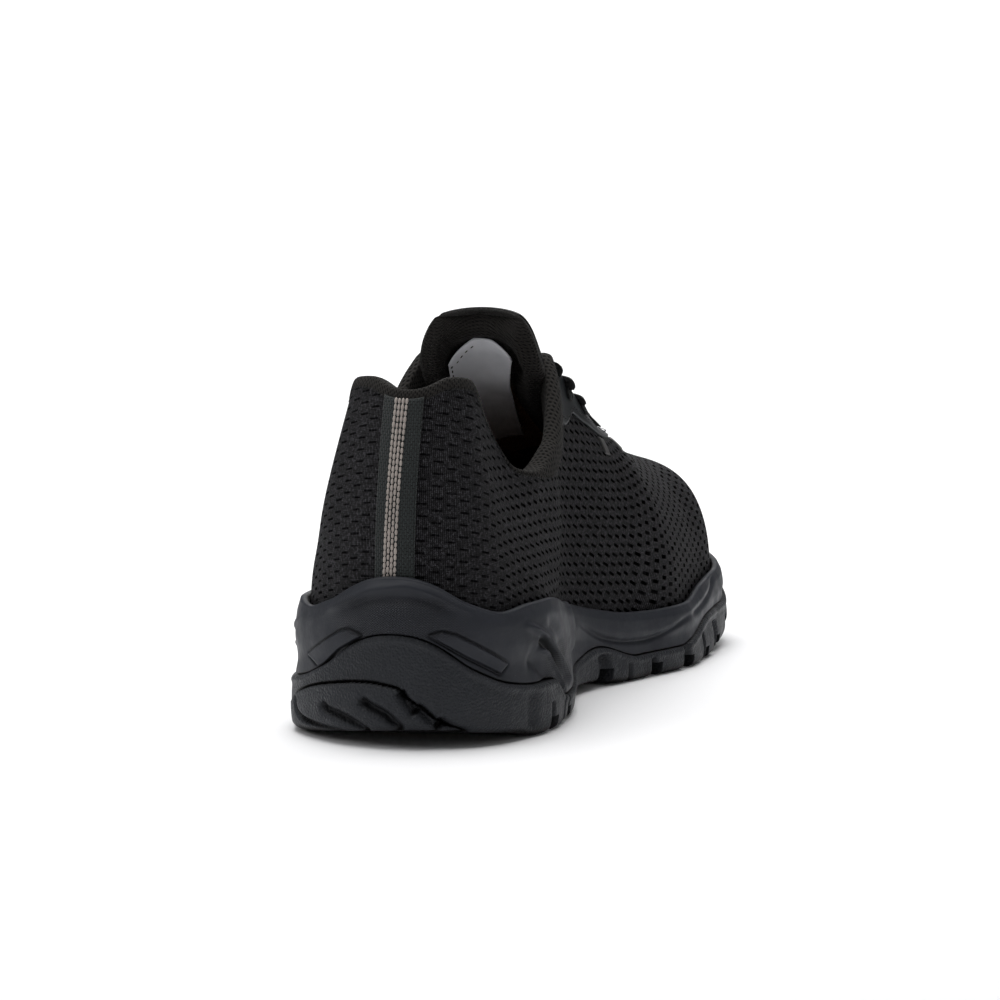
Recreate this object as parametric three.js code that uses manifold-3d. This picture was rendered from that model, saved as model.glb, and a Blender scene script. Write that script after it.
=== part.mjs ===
// Low safety sneaker for the left foot, as an assembly of separate pieces.
// Millimetres. +Z is up, the heel is at -Y and the toe at +Y, and +X is the inner side of the foot.
import * as THREE from "three";
import { mergeVertices } from "three/addons/utils/BufferGeometryUtils.js";
import Module from "manifold-3d";

const wasm = await Module();
wasm.setup();

// Driving sizes of the whole shoe
const shoeLength = 300; // outsole, from the back of the heel to the toe tip
const ballWidth = 110; // outsole across the ball of the foot
const instepHeight = 117.5; // floor to the top eyelet's corner of the upper
const soleHeight = 52.5; // floor to the midsole's peak behind the heel
const seatHeight = 27; // floor to the footbed at the heel
const toeTipHeight = 51.5; // floor to where the toe box turns upright

// Upper, its padded collar and what is sewn on it
const upperWall = 2.2;
const upperInset = 5.7; // how far the upper stands in from the sole's outline
const gap = 0.3; // clearance between neighbouring pieces
const curveGap = 0.45; // the same where both are curved
const heelLean = 11.2; // how far the collar leans forward over the heel
const heelBulge = 1.9;
const outerBulge = 3; // how much fuller the outer side of the heel is
const heelLeanReach = 0.3; // share of the length over which the lean fades
const collarPad = 6;
const throatStart = 0.385; // share of the length at the top eyelets, station 1
const throatEnd = 0.66; // share of the length at the foot of the lacing, station 2
const tapeWidth = 13.1;
const tapeOffset = -1.1; // towards the outer side
const tapeThickness = 0.9;
const eyestayThickness = 1.2;
const eyestayBand = 12; // width of the band beside the throat
const eyestayPanel = 20; // width of the smooth panel at the top eyelet
const eyestayPanelEnd = 1.31; // station at which it has narrowed to the band
const eyestayTaper = 0.04; // share of the length over which it narrows
const eyeletRadius = 2.2;
const eyeletPairs = 5;
const eyeletMargin = 0.02; // share of the length between the throat's top corner and the first eyelet
const laceWidth = 5;
const laceHeight = 2.2;
const laceStep = 1.3; // how far apart two strands leave one eyelet
const laceRise = 1.6; // how far a strand lifts more over the throat's rim
const eyeletDrop = 6; // from the throat's edge down to an eyelet's middle
const markThickness = 0.5;
const markLength = 4.8;
const markDrop = 6.5; // how far a reflective mark reaches down the side

// Sole unit
const lipThickness = 3; // midsole edge beside the upper
const outsoleWall = 3; // rubber that wraps up the side
const outsoleProud = 0.8; // how far that rubber stands out of the midsole
const outsoleBase = 3.6; // rubber above the lugs
const lugDepth = 5;
const lugGap = 4.6;
const insoleThickness = 4.5;

// Tongue
const tongueThickness = 6.5;
const tongueStand = 18.5; // how far its top stands over the top eyelet's corner
const tabThickness = 1;
const labelThickness = 0.6;
const tabFrom = 0.78; // share of the tongue where its cap starts
const labelFrom = 0.56;
const labelTo = 0.89;

// Mesh steps
const soleSteps = 30; // stations along each side of the sole
const soleRungs = 3; // steps across its underside
const upperSteps = 28;
const ribSteps = 8;
const liningRibs = 4; // how many of the upper's rib steps the padded lining reaches down
const laceSides = 5;
const tongueSteps = 18;
const tongueCross = 8;

// Plan outline: centre line and half width as shares of ballWidth
const planRows = [
  { at: 0, centre: 0, half: 0.4 },
  { at: 0.12, centre: -0.04, half: 0.405 },
  { at: 0.26, centre: -0.026, half: 0.365 },
  { at: 0.4, centre: -0.036, half: 0.297 },
  { at: 0.54, centre: -0.03, half: 0.4 },
  { at: 0.67, centre: -0.024, half: 0.5 },
  { at: 0.8, centre: -0.008, half: 0.486 },
  { at: 0.91, centre: 0.044, half: 0.474 },
  { at: 1, centre: 0.061, half: 0.417 },
];
const heelRound = 0.198; // share of the length over which the heel closes
const toeRound = 0.249;
const roundPower = 2.11;

// Underside: height over the floor as shares of soleHeight, on the inner and the outer side
const springRows = [
  { at: 0, inner: 0.133, outer: 0.103 },
  { at: 0.04, inner: 0.087, outer: 0.054 },
  { at: 0.085, inner: 0.052, outer: 0.015 },
  { at: 0.13, inner: 0, outer: 0 },
  { at: 0.29, inner: 0, outer: 0 },
  { at: 0.36, inner: 0.05, outer: 0.03 },
  { at: 0.44, inner: 0.05, outer: 0.03 },
  { at: 0.52, inner: 0, outer: 0 },
  { at: 0.73, inner: 0, outer: 0 },
  { at: 0.82, inner: 0.044, outer: 0.044 },
  { at: 0.91, inner: 0.165, outer: 0.155 },
  { at: 1, inner: 0.32, outer: 0.32 },
];

// Sole unit: footbed as a share of seatHeight, the rubber's edge and the midsole's edge as shares of
// soleHeight
const soleRows = [
  { at: 0, seat: 1, rubber: 0.701, edge: 1.046 },
  { at: 0.03, seat: 1, rubber: 0.481, edge: 0.873 },
  { at: 0.07, seat: 1, rubber: 0.369, edge: 0.797 },
  { at: 0.12, seat: 0.99, rubber: 0.329, edge: 0.818 },
  { at: 0.16, seat: 0.985, rubber: 0.324, edge: 0.818 },
  { at: 0.2, seat: 0.97, rubber: 0.2, edge: 0.795 },
  { at: 0.25, seat: 0.94, rubber: 0.165, edge: 0.734 },
  { at: 0.3, seat: 0.905, rubber: 0.187, edge: 0.697 },
  { at: 0.35, seat: 0.86, rubber: 0.215, edge: 0.659 },
  { at: 0.4, seat: 0.81, rubber: 0.23, edge: 0.609 },
  { at: 0.46, seat: 0.75, rubber: 0.279, edge: 0.537 },
  { at: 0.54, seat: 0.675, rubber: 0.165, edge: 0.46 },
  { at: 0.6, seat: 0.64, rubber: 0.15, edge: 0.445 },
  { at: 0.68, seat: 0.62, rubber: 0.217, edge: 0.444 },
  { at: 0.76, seat: 0.63, rubber: 0.312, edge: 0.519 },
  { at: 0.86, seat: 0.7, rubber: 0.329, edge: 0.565 },
  { at: 0.94, seat: 0.84, rubber: 0.467, edge: 0.647 },
  { at: 1, seat: 1, rubber: 0.555, edge: 0.792 },
];

// Side of the sole: how far it swells, as shares of upperInset, over its height from the floor to the
// midsole's edge
const wallRows = [
  { at: 0, out: -0.22 },
  { at: 0.06, out: 0.02 },
  { at: 0.3, out: 0.14 },
  { at: 0.55, out: 0.1 },
  { at: 0.74, out: 0.27 },
  { at: 0.88, out: 0.22 },
  { at: 1, out: 0 },
];

// Tread grooves running in from both edges: reach as a share of ballWidth, slant in degrees, width as a
// share of lugGap
const edgeGrooveRows = [
  { at: 0.165, reach: 0.22, slant: 14, width: 1 },
  { at: 0.235, reach: 0.22, slant: 14, width: 1 },
  { at: 0.475, reach: 0.2, slant: -8, width: 1 },
  { at: 0.572, reach: 0.22, slant: -10, width: 1.41 },
  { at: 0.648, reach: 0.22, slant: -12, width: 1.09 },
  { at: 0.725, reach: 0.22, slant: -14, width: 1.09 },
  { at: 0.8, reach: 0.21, slant: -20, width: 1.09 },
  { at: 0.875, reach: 0.18, slant: -38, width: 1 },
  { at: 0.94, reach: 0.14, slant: -55, width: 1 },
];
const grooveOverrun = 12; // how far a groove's cut runs out past the edge

// Reflective marks beside the lacing
const markRows = [
  { mark: 1, at: 1.582 },
  { mark: 2, at: 1.836 },
];

// Chevron grooves across the middle of the tread
const chevronRows = [
  { at: 0.16, arm: 0.2, slant: -28 },
  { at: 0.235, arm: 0.2, slant: -28 },
  { at: 0.525, arm: 0.22, slant: -28 },
  { at: 0.605, arm: 0.24, slant: -28 },
  { at: 0.685, arm: 0.24, slant: -28 },
  { at: 0.765, arm: 0.23, slant: -28 },
  { at: 0.84, arm: 0.2, slant: -28 },
];

// Upper, one section a row. at: station, 0 at the heel, 1 at the top eyelets, 2 at the foot of the lacing
// and 3 at the toe. edge: half the opening as a share of ballWidth. inner, outer: height of the edge or, past
// the throat, of the ridge, as shares of instepHeight. rise, swell: the side's handle over the feather line.
// run, drop: the crown's handle beside the edge.
const upperRows = [
  { at: 0, edge: 0.2, inner: 0.956, outer: 0.956, rise: 0.361, swell: 0.011, run: 0.256, drop: 0.337 },
  { at: 0.078, edge: 0.225, inner: 0.987, outer: 0.987, rise: 0.361, swell: 0.011, run: 0.256, drop: 0.337 },
  { at: 0.156, edge: 0.236, inner: 0.981, outer: 0.981, rise: 0.34, swell: 0.02, run: 0.275, drop: 0.268 },
  { at: 0.312, edge: 0.234, inner: 0.852, outer: 0.849, rise: 0.35, swell: 0.02, run: 0.277, drop: 0.325 },
  { at: 0.468, edge: 0.262, inner: 0.72, outer: 0.708, rise: 0.393, swell: 0.028, run: 0.261, drop: 0.321 },
  { at: 0.597, edge: 0.283, inner: 0.703, outer: 0.683, rise: 0.419, swell: 0.012, run: 0.28, drop: 0.3 },
  { at: 0.727, edge: 0.292, inner: 0.743, outer: 0.725, rise: 0.45, swell: 0.013, run: 0.301, drop: 0.28 },
  { at: 0.857, edge: 0.272, inner: 0.857, outer: 0.845, rise: 0.48, swell: 0.006, run: 0.36, drop: 0.26 },
  { at: 0.948, edge: 0.238, inner: 0.958, outer: 0.952, rise: 0.51, swell: 0, run: 0.42, drop: 0.24 },
  { at: 1, edge: 0.212, inner: 1, outer: 1, rise: 0.52, swell: 0, run: 0.45, drop: 0.22 },
  { at: 1.127, edge: 0.2, inner: 0.98, outer: 0.98, rise: 0.52, swell: 0, run: 0.48, drop: 0.2 },
  { at: 1.418, edge: 0.192, inner: 0.89, outer: 0.89, rise: 0.531, swell: 0.004, run: 0.552, drop: 0.138 },
  { at: 1.782, edge: 0.152, inner: 0.783, outer: 0.783, rise: 0.562, swell: 0.008, run: 0.607, drop: 0.06 },
  { at: 1.927, edge: 0.098, inner: 0.763, outer: 0.763, rise: 0.563, swell: 0.01, run: 0.619, drop: 0.02 },
  { at: 2, edge: 0, inner: 0.754, outer: 0.754, rise: 0.57, swell: 0.015, run: 0.625, drop: 0 },
  { at: 2.176, edge: 0, inner: 0.722, outer: 0.722, rise: 0.56, swell: 0.01, run: 0.635, drop: 0 },
  { at: 2.412, edge: 0, inner: 0.677, outer: 0.677, rise: 0.53, swell: 0.015, run: 0.672, drop: 0 },
  { at: 2.647, edge: 0, inner: 0.652, outer: 0.652, rise: 0.715, swell: 0.024, run: 0.695, drop: 0 },
  { at: 3, edge: 0, inner: 0.669, outer: 0.669, rise: 0.827, swell: 0.021, run: 0.715, drop: 0 },
];

// Padded collar up to the top eyelets, as shares of collarPad: roll is how far it stands over the upper's
// edge and pad how far inwards
const rollRows = [
  { at: 0, roll: 0.5, pad: 1 },
  { at: 0.26, roll: 0.45, pad: 1 },
  { at: 0.519, roll: 0.5, pad: 1 },
  { at: 0.701, roll: 0.9, pad: 0.85 },
  { at: 0.831, roll: 1.15, pad: 0.6 },
  { at: 0.935, roll: 0.8, pad: 0.4 },
  { at: 1, roll: 0.5, pad: 0.4 },
];

// Tongue's centre line from under the vamp to its top. along: station as in upperRows. up: height as a share
// of instepHeight, and over: what it adds as a share of tongueStand. centre, half, bend: middle, half width
// and radius across it as shares of ballWidth. thick: share of tongueThickness
const tongueRows = [
  { at: 0, along: 2.118, up: 0.648, over: 0, centre: -0.02, half: 0.19, bend: 0.42, thick: 0.35 },
  { at: 0.2, along: 1.855, up: 0.694, over: 0, centre: -0.024, half: 0.21, bend: 0.36, thick: 0.5 },
  { at: 0.45, along: 1.491, up: 0.799, over: 0, centre: -0.026, half: 0.22, bend: 0.3, thick: 0.65 },
  { at: 0.7, along: 1.127, up: 0.932, over: 0, centre: -0.024, half: 0.22, bend: 0.27, thick: 0.85 },
  { at: 0.85, along: 0.961, up: 1, over: 0.265, centre: -0.012, half: 0.23, bend: 0.26, thick: 1.1 },
  { at: 1, along: 0.87, up: 1, over: 1, centre: -0.004, half: 0.21, bend: 0.26, thick: 1.1 },
];

// A smooth function through a table's column, with no overshoot between rows
function column(rows, key) {
  const at = rows.map((row) => row.at);
  const value = rows.map((row) => row[key]);
  const slope = value.slice(1).map((next, i) => (next - value[i]) / (at[i + 1] - at[i]));
  const tangent = value.map((_, i) => {
    if (i === 0) return slope[0];
    if (i === value.length - 1) return slope[i - 1];
    if (slope[i - 1] * slope[i] <= 0) return 0;
    const before = at[i] - at[i - 1];
    const after = at[i + 1] - at[i];
    const near = 2 * after + before;
    const far = after + 2 * before;
    return (near + far) / (near / slope[i - 1] + far / slope[i]);
  });
  return (t) => {
    const clamped = Math.min(Math.max(t, at[0]), at[at.length - 1]);
    let i = 0;
    while (i < at.length - 2 && clamped > at[i + 1]) i += 1;
    const step = at[i + 1] - at[i];
    const k = (clamped - at[i]) / step;
    const rest = 1 - k;
    return (
      value[i] * (1 + 2 * k) * rest * rest +
      tangent[i] * step * k * rest * rest +
      value[i + 1] * k * k * (3 - 2 * k) -
      tangent[i + 1] * step * k * k * rest
    );
  };
}

const mix = (a, b, k) => a + (b - a) * k;
const clamp = (value, low, high) => Math.min(Math.max(value, low), high);

// The share of the length at a station, which the rows of the upper, its collar and the tongue are placed by
function shareOf(station) {
  if (station <= 1) return station * throatStart;
  if (station <= 2) return mix(throatStart, throatEnd, station - 1);
  return mix(throatEnd, 1, station - 2);
}
const placed = (rows) => rows.map((row) => ({ ...row, at: shareOf(row.at) }));

const columns = (rows) =>
  Object.fromEntries(Object.keys(rows[0]).map((key) => [key, column(rows, key)]));
const plan = columns(planRows);
const spring = columns(springRows);
const sole = columns(soleRows);
const wall = columns(wallRows);
const upperTable = columns(placed(upperRows));
const collar = columns(placed(rollRows));
const tongueTable = columns(tongueRows.map((row) => ({ ...row, along: shareOf(row.along) })));

// How far an outline has closed at a share of the length: 0 at the ends and 1 between them
function closing(at) {
  const heel = clamp((heelRound - at) / heelRound, 0, 1);
  const toe = clamp((at - 1 + toeRound) / toeRound, 0, 1);
  return (1 - Math.max(heel, toe) ** roundPower) ** (1 / roundPower);
}

// A place round the shoe: turn runs from 0 at the heel by the inner side to 0.5 at the toe and on to 1
const turnAt = (at, side) => {
  const half = Math.acos(1 - 2 * clamp(at, 0, 1)) / (2 * Math.PI);
  return side > 0 ? half : 1 - half;
};
function placeOf(turn) {
  const whole = turn - Math.floor(turn);
  return { at: 0.5 - 0.5 * Math.cos(2 * Math.PI * whole), side: whole <= 0.5 ? 1 : -1 };
}

// Share of the outer side at a place, 0 on the inner edge and 1 on the outer one, soft across the ends
function outerShare(turn) {
  return 0.5 - 0.5 * Math.sin(2 * Math.PI * turn) / Math.hypot(Math.sin(2 * Math.PI * turn), 0.12);
}

function outline(turn, inset) {
  const { at, side } = placeOf(turn);
  const half = (plan.half(at) * ballWidth - inset) * closing(at);
  return new THREE.Vector2(
    plan.centre(at) * ballWidth + side * half,
    (at - 0.5) * (shoeLength - 2 * inset),
  );
}

const seatAt = (at) => sole.seat(at) * seatHeight;
const floorAt = (turn) => {
  const { at } = placeOf(turn);
  return mix(spring.inner(at), spring.outer(at), outerShare(turn)) * soleHeight;
};
const rubberAt = (turn) => sole.rubber(placeOf(turn).at) * soleHeight;
const edgeAt = (turn) => sole.edge(placeOf(turn).at) * soleHeight;

// The upper's outer surface. rib runs from 0 at the feather line to 1 at the opening or the ridge
function upperSkin(turn, rib) {
  const { at, side } = placeOf(turn);
  const foot = outline(turn, upperInset);
  const centre = plan.centre(at) * ballWidth;
  const base = seatAt(at) + gap;
  const half = Math.abs(foot.x - centre);
  const edge = upperTable.edge(at) * ballWidth * closing(at);
  const height = mix(upperTable.inner(at), upperTable.outer(at), outerShare(turn)) * instepHeight;
  const top = at > 1 - toeRound ? mix(toeTipHeight, height, closing(at)) : height;
  const rise = top - base;
  const swell = upperTable.swell(at) * ballWidth * closing(at);
  const rest = 1 - rib;
  const weights = [rest ** 3, 3 * rib * rest ** 2, 3 * rib ** 2 * rest, rib ** 3];
  const full = outerBulge * outerShare(turn) * closing(at) * clamp(2 - at / heelLeanReach, 0, 1) ** 2;
  const across = [half, half + swell + full, mix(edge, half, upperTable.run(at)) + full, edge];
  const up = [base, base + upperTable.rise(at) * rise, top - upperTable.drop(at) * rise, top];
  const blend = (values) => values.reduce((sum, value, i) => sum + value * weights[i], 0);
  const z = blend(up);
  const tall = (z - base) / (instepHeight - base);
  const heelShare = clamp(1 - at / heelLeanReach, 0, 1) ** 2;
  const lean = heelLean * Math.max(tall, 0) ** 2.2 - heelBulge * Math.sin(Math.PI * clamp(tall, 0, 1));
  return new THREE.Vector3(centre + side * blend(across), foot.y + heelShare * lean, z);
}

// Outward normal of a surface given by two shares, from small steps either way
function normalOf(surface, u, v) {
  const step = 1e-3;
  const low = clamp(v, 2 * step, 1 - 4 * step);
  const along = surface(u + step, low).sub(surface(u - step, low));
  const across = surface(u, low + step).sub(surface(u, low - step));
  return along.cross(across).normalize();
}

// Past the throat both sides share the ridge, so its normal comes from the ridge alone
function ridgeNormal(at) {
  const step = 4e-3;
  const before = upperSkin(turnAt(at - step, 1), 1);
  const after = upperSkin(turnAt(at + step, 1), 1);
  return new THREE.Vector3(0, before.z - after.z, after.y - before.y).normalize();
}
function upperOut(turn, rib, off) {
  const { at } = placeOf(turn);
  const onRidge = rib > 0.999 && at >= throatEnd - 1e-6;
  const normal = onRidge ? ridgeNormal(at) : normalOf(upperSkin, turn, rib);
  return upperSkin(turn, rib).addScaledVector(normal, off);
}

// The rib share at which the upper reaches a height
function ribAtHeight(turn, z) {
  let low = 0;
  let high = 1;
  for (let i = 0; i < 26; i += 1) {
    const middle = (low + high) / 2;
    if (upperSkin(turn, middle).z < z) low = middle;
    else high = middle;
  }
  return (low + high) / 2;
}

// The side of the sole unit. share runs from 0 at the floor to 1 at the midsole's edge
function soleSkin(turn, share) {
  const floor = floorAt(turn);
  const edge = edgeAt(turn);
  const z = mix(floor, edge, share);
  const base = outline(turn, 0);
  const lip = upperOut(turn, ribAtHeight(turn, edge), gap + lipThickness);
  const ease = share * share * (3 - 2 * share);
  const out = wall.out(share) * upperInset;
  const point = new THREE.Vector3(mix(base.x, lip.x, ease), mix(base.y, lip.y, ease), z);
  const before = outline(turn - 1e-3, 0);
  const after = outline(turn + 1e-3, 0);
  const away = new THREE.Vector3(after.y - before.y, before.x - after.x, 0).normalize();
  return point.addScaledVector(away, out);
}
const soleOut = (turn, share, off) => {
  const point = soleSkin(turn, share);
  const before = soleSkin(turn - 1e-3, share);
  const after = soleSkin(turn + 1e-3, share);
  const away = new THREE.Vector3(after.y - before.y, before.x - after.x, 0).normalize();
  return point.addScaledVector(away, off);
};
const shareAtHeight = (turn, z) => (z - floorAt(turn)) / (edgeAt(turn) - floorAt(turn));

// A closed solid from points and triangles
function solidFrom(points, faces) {
  const geometry = new THREE.BufferGeometry();
  geometry.setAttribute("position", new THREE.Float32BufferAttribute(points.flatMap((p) => p.toArray()), 3));
  geometry.setIndex(faces);
  return solidOf(geometry);
}

function solidOf(geometry) {
  const plain = new THREE.BufferGeometry();
  plain.setAttribute("position", geometry.getAttribute("position"));
  if (geometry.index) plain.setIndex(geometry.index);
  const merged = mergeVertices(plain, 1e-3);
  const index = merged.index.array;
  const place = merged.getAttribute("position").array;
  const kept = [];
  for (let i = 0; i < index.length; i += 3) {
    const [a, b, c] = index.slice(i, i + 3);
    if (a !== b && b !== c && c !== a) kept.push(a, b, c);
  }
  const solid = new wasm.Manifold(
    new wasm.Mesh({ numProp: 3, vertProperties: new Float32Array(place), triVerts: new Uint32Array(kept) }),
  );
  if (solid.volume() > 0) return solid;
  const turned = [];
  for (let i = 0; i < kept.length; i += 3) turned.push(kept[i], kept[i + 2], kept[i + 1]);
  return new wasm.Manifold(
    new wasm.Mesh({ numProp: 3, vertProperties: new Float32Array(place), triVerts: new Uint32Array(turned) }),
  );
}

function geometryOf(solid) {
  const mesh = solid.getMesh();
  const place = new Float32Array(mesh.numVert * 3);
  for (let i = 0; i < mesh.numVert; i += 1) {
    place.set(mesh.vertProperties.subarray(i * mesh.numProp, i * mesh.numProp + 3), i * 3);
  }
  const geometry = new THREE.BufferGeometry();
  geometry.setAttribute("position", new THREE.BufferAttribute(place, 3));
  geometry.setIndex(new THREE.BufferAttribute(new Uint32Array(mesh.triVerts), 1));
  geometry.computeVertexNormals();
  return geometry;
}

// A solid from a stack of closed loops, closed at both ends by rungs from the inner to the outer side
function stackOfLoops(loops, rungs) {
  const points = loops.flat();
  const count = loops[0].length;
  const half = count / 2;
  const faces = [];
  for (let level = 0; level < loops.length - 1; level += 1) {
    for (let i = 0; i < count; i += 1) {
      const next = (i + 1) % count;
      const a = level * count + i;
      const b = level * count + next;
      faces.push(a, b, b + count, a, b + count, a + count);
    }
  }
  const cap = (level, flip) => {
    const first = level * count;
    const rows = [];
    for (let i = 0; i <= half; i += 1) {
      const inner = first + i;
      const outer = first + ((count - i) % count);
      const row = [inner];
      if (i > 0 && i < half) {
        for (let k = 1; k < rungs; k += 1) {
          row.push(points.length);
          points.push(points[inner].clone().lerp(points[outer], k / rungs));
        }
      } else {
        for (let k = 1; k < rungs; k += 1) row.push(inner);
      }
      row.push(outer);
      rows.push(row);
    }
    for (let i = 0; i < half; i += 1) {
      for (let k = 0; k < rungs; k += 1) {
        const quad = [rows[i][k], rows[i + 1][k], rows[i + 1][k + 1], rows[i][k + 1]];
        if (flip) quad.reverse();
        faces.push(quad[0], quad[2], quad[1], quad[0], quad[3], quad[2]);
      }
    }
  };
  cap(0, false);
  cap(loops.length - 1, true);
  return solidFrom(points, faces);
}

// A solid from a grid of closed sections, with flat ends
function sweptSections(sections) {
  const points = sections.flat();
  const count = sections[0].length;
  const faces = [];
  for (let row = 0; row < sections.length - 1; row += 1) {
    for (let i = 0; i < count; i += 1) {
      const a = row * count + i;
      const b = row * count + ((i + 1) % count);
      faces.push(a, b, b + count, a, b + count, a + count);
    }
  }
  const close = (row, flip) => {
    const first = row * count;
    const middle = points.length;
    const centre = new THREE.Vector3();
    for (let i = 0; i < count; i += 1) centre.add(points[first + i]);
    points.push(centre.divideScalar(count));
    for (let i = 0; i < count; i += 1) {
      const a = first + i;
      const b = first + ((i + 1) % count);
      if (flip) faces.push(a, middle, b);
      else faces.push(a, b, middle);
    }
  };
  close(0, true);
  close(sections.length - 1, false);
  return solidFrom(points, faces);
}

// A thick patch of a surface: place(u, v, off) over a grid of u and v, between two offsets
function patch(place, us, vs, low, high) {
  const points = [];
  const rows = us.length;
  const cols = vs.length;
  for (const off of [high, low]) {
    for (const u of us) for (const v of vs) points.push(place(u, v, off));
  }
  const id = (layer, i, j) => layer * rows * cols + i * cols + j;
  const faces = [];
  const quad = (a, b, c, d) => faces.push(a, b, c, a, c, d);
  for (let i = 0; i < rows - 1; i += 1) {
    for (let j = 0; j < cols - 1; j += 1) {
      quad(id(0, i, j), id(0, i + 1, j), id(0, i + 1, j + 1), id(0, i, j + 1));
      quad(id(1, i, j), id(1, i, j + 1), id(1, i + 1, j + 1), id(1, i + 1, j));
    }
  }
  for (let i = 0; i < rows - 1; i += 1) {
    quad(id(0, i, 0), id(1, i, 0), id(1, i + 1, 0), id(0, i + 1, 0));
    quad(id(0, i, cols - 1), id(0, i + 1, cols - 1), id(1, i + 1, cols - 1), id(1, i, cols - 1));
  }
  for (let j = 0; j < cols - 1; j += 1) {
    quad(id(0, 0, j), id(0, 0, j + 1), id(1, 0, j + 1), id(1, 0, j));
    quad(id(0, rows - 1, j), id(1, rows - 1, j), id(1, rows - 1, j + 1), id(0, rows - 1, j + 1));
  }
  return solidFrom(points, faces);
}

const range = (from, to, steps) => Array.from({ length: steps + 1 }, (_, i) => mix(from, to, i / steps));
const turns = Array.from({ length: 2 * soleSteps }, (_, i) => i / (2 * soleSteps));
const loopOf = (place) => turns.map((turn) => place(turn));

// Stations of the upper along the shoe, with its corners among them
const collarEnd = throatStart - 0.006;
function upperStations() {
  const spread = (i) => 0.5 - 0.5 * Math.cos((Math.PI * i) / upperSteps);
  const even = Array.from({ length: upperSteps + 1 }, (_, i) => spread(i));
  const corners = [collarEnd, ...[0.857, 0.922, 1, 1.055, 1.909, 1.971, 2].map(shareOf)];
  const free = even.filter((at) => corners.every((corner) => Math.abs(corner - at) > 0.01));
  return [...free, ...corners].sort((a, b) => a - b);
}

// Upper: one hollow shell, open at the collar, the throat and underneath. The grown shell is for cutting
// its neighbours clear of it
function upperShell(outerOff, innerOff, lift) {
  const stations = upperStations();
  const ribs = range(0, 1, ribSteps);
  const inner = stations.map((at) => turnAt(at, 1));
  const outer = stations.slice(1, -1).reverse().map((at) => turnAt(at, -1));
  const round = [...inner, ...outer];
  const points = [];
  for (const off of [outerOff, innerOff]) {
    for (const turn of round) {
      for (const rib of ribs) {
        const point = upperOut(turn, rib, off);
        if (rib === 0) point.z = upperSkin(turn, 0).z;
        if (rib === 1 && lift > 0 && placeOf(turn).at < throatEnd - 1e-6) {
          const up = upperSkin(turn, 1).sub(upperSkin(turn, 0.97)).normalize();
          point.addScaledVector(up, lift);
        }
        points.push(point);
      }
    }
  }
  const cols = ribs.length;
  const id = (layer, i, j) => (layer * round.length + (i % round.length)) * cols + j;
  const faces = [];
  const quad = (a, b, c, d) => faces.push(a, b, c, a, c, d);
  round.forEach((turn, i) => {
    for (let j = 0; j < cols - 1; j += 1) {
      quad(id(0, i, j), id(0, i + 1, j), id(0, i + 1, j + 1), id(0, i, j + 1));
      quad(id(1, i, j), id(1, i, j + 1), id(1, i + 1, j + 1), id(1, i + 1, j));
    }
    quad(id(0, i, 0), id(1, i, 0), id(1, i + 1, 0), id(0, i + 1, 0));
    const here = placeOf(turn).at;
    const next = placeOf(round[(i + 1) % round.length]).at;
    if (Math.min(here, next) < throatEnd - 1e-6) {
      quad(id(0, i, cols - 1), id(0, i + 1, cols - 1), id(1, i + 1, cols - 1), id(1, i, cols - 1));
    }
  });
  return solidFrom(points, faces);
}

// The largest body of a solid, without the slivers a cut can leave
function largest(solid) {
  return solid.decompose().reduce((best, next) => (next.volume() > best.volume() ? next : best));
}

// Midsole: a cup round the foot of the upper, with a waved edge
function makeMidsole() {
  const under = lugDepth + outsoleBase + gap;
  const loops = [];
  const inset = -outsoleWall - gap;
  const atHeight = (turn, z, off) => soleOut(turn, shareAtHeight(turn, z), off);
  const lineAt = (turn) => Math.max(rubberAt(turn), floorAt(turn) + under) + gap;
  loops.push(loopOf((turn) => atHeight(turn, floorAt(turn) + under, inset)));
  loops.push(loopOf((turn) => atHeight(turn, lineAt(turn), inset)));
  for (const share of range(0, 1, 6)) {
    loops.push(
      loopOf((turn) => {
        const low = shareAtHeight(turn, lineAt(turn));
        return soleSkin(turn, mix(low, 1, share));
      }),
    );
  }
  const innerAt = (turn, z) => {
    const point = upperOut(turn, ribAtHeight(turn, z), curveGap);
    point.z = z;
    return point;
  };
  loops.push(loopOf((turn) => innerAt(turn, edgeAt(turn))));
  for (const share of [0.5, 0]) {
    loops.push(loopOf((turn) => innerAt(turn, mix(seatAt(placeOf(turn).at), edgeAt(turn), share))));
  }
  return stackOfLoops(loops, soleRungs);
}

// Outsole: a rubber dish that wraps up the side, with lugs left standing between cut grooves
function makeOutsole() {
  const loops = [];
  const atHeight = (turn, z, off) => soleOut(turn, shareAtHeight(turn, z), off);
  const topAt = (turn) => Math.max(rubberAt(turn), floorAt(turn) + lugDepth + outsoleBase + gap);
  loops.push(loopOf((turn) => soleOut(turn, 0, outsoleProud)));
  for (const share of [0.18, 0.6, 1]) {
    loops.push(loopOf((turn) => atHeight(turn, mix(floorAt(turn), topAt(turn), share), outsoleProud)));
  }
  loops.push(loopOf((turn) => atHeight(turn, topAt(turn), -outsoleWall)));
  loops.push(loopOf((turn) => atHeight(turn, floorAt(turn) + lugDepth + outsoleBase, -outsoleWall)));
  let solid = stackOfLoops(loops, soleRungs);
  for (const cutter of makeGrooves()) solid = solid.subtract(cutter);
  return solid;
}

// A channel cut up into the sole: its middle, its length and width, its turn in degrees and its roof over
// the floor
function channel(x, y, length, width, slant, roof) {
  const below = 10;
  const box = new THREE.BoxGeometry(length, width, roof + below);
  box.rotateZ(THREE.MathUtils.degToRad(slant));
  box.translate(x, y, (roof - below) / 2);
  return solidOf(box);
}

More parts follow.
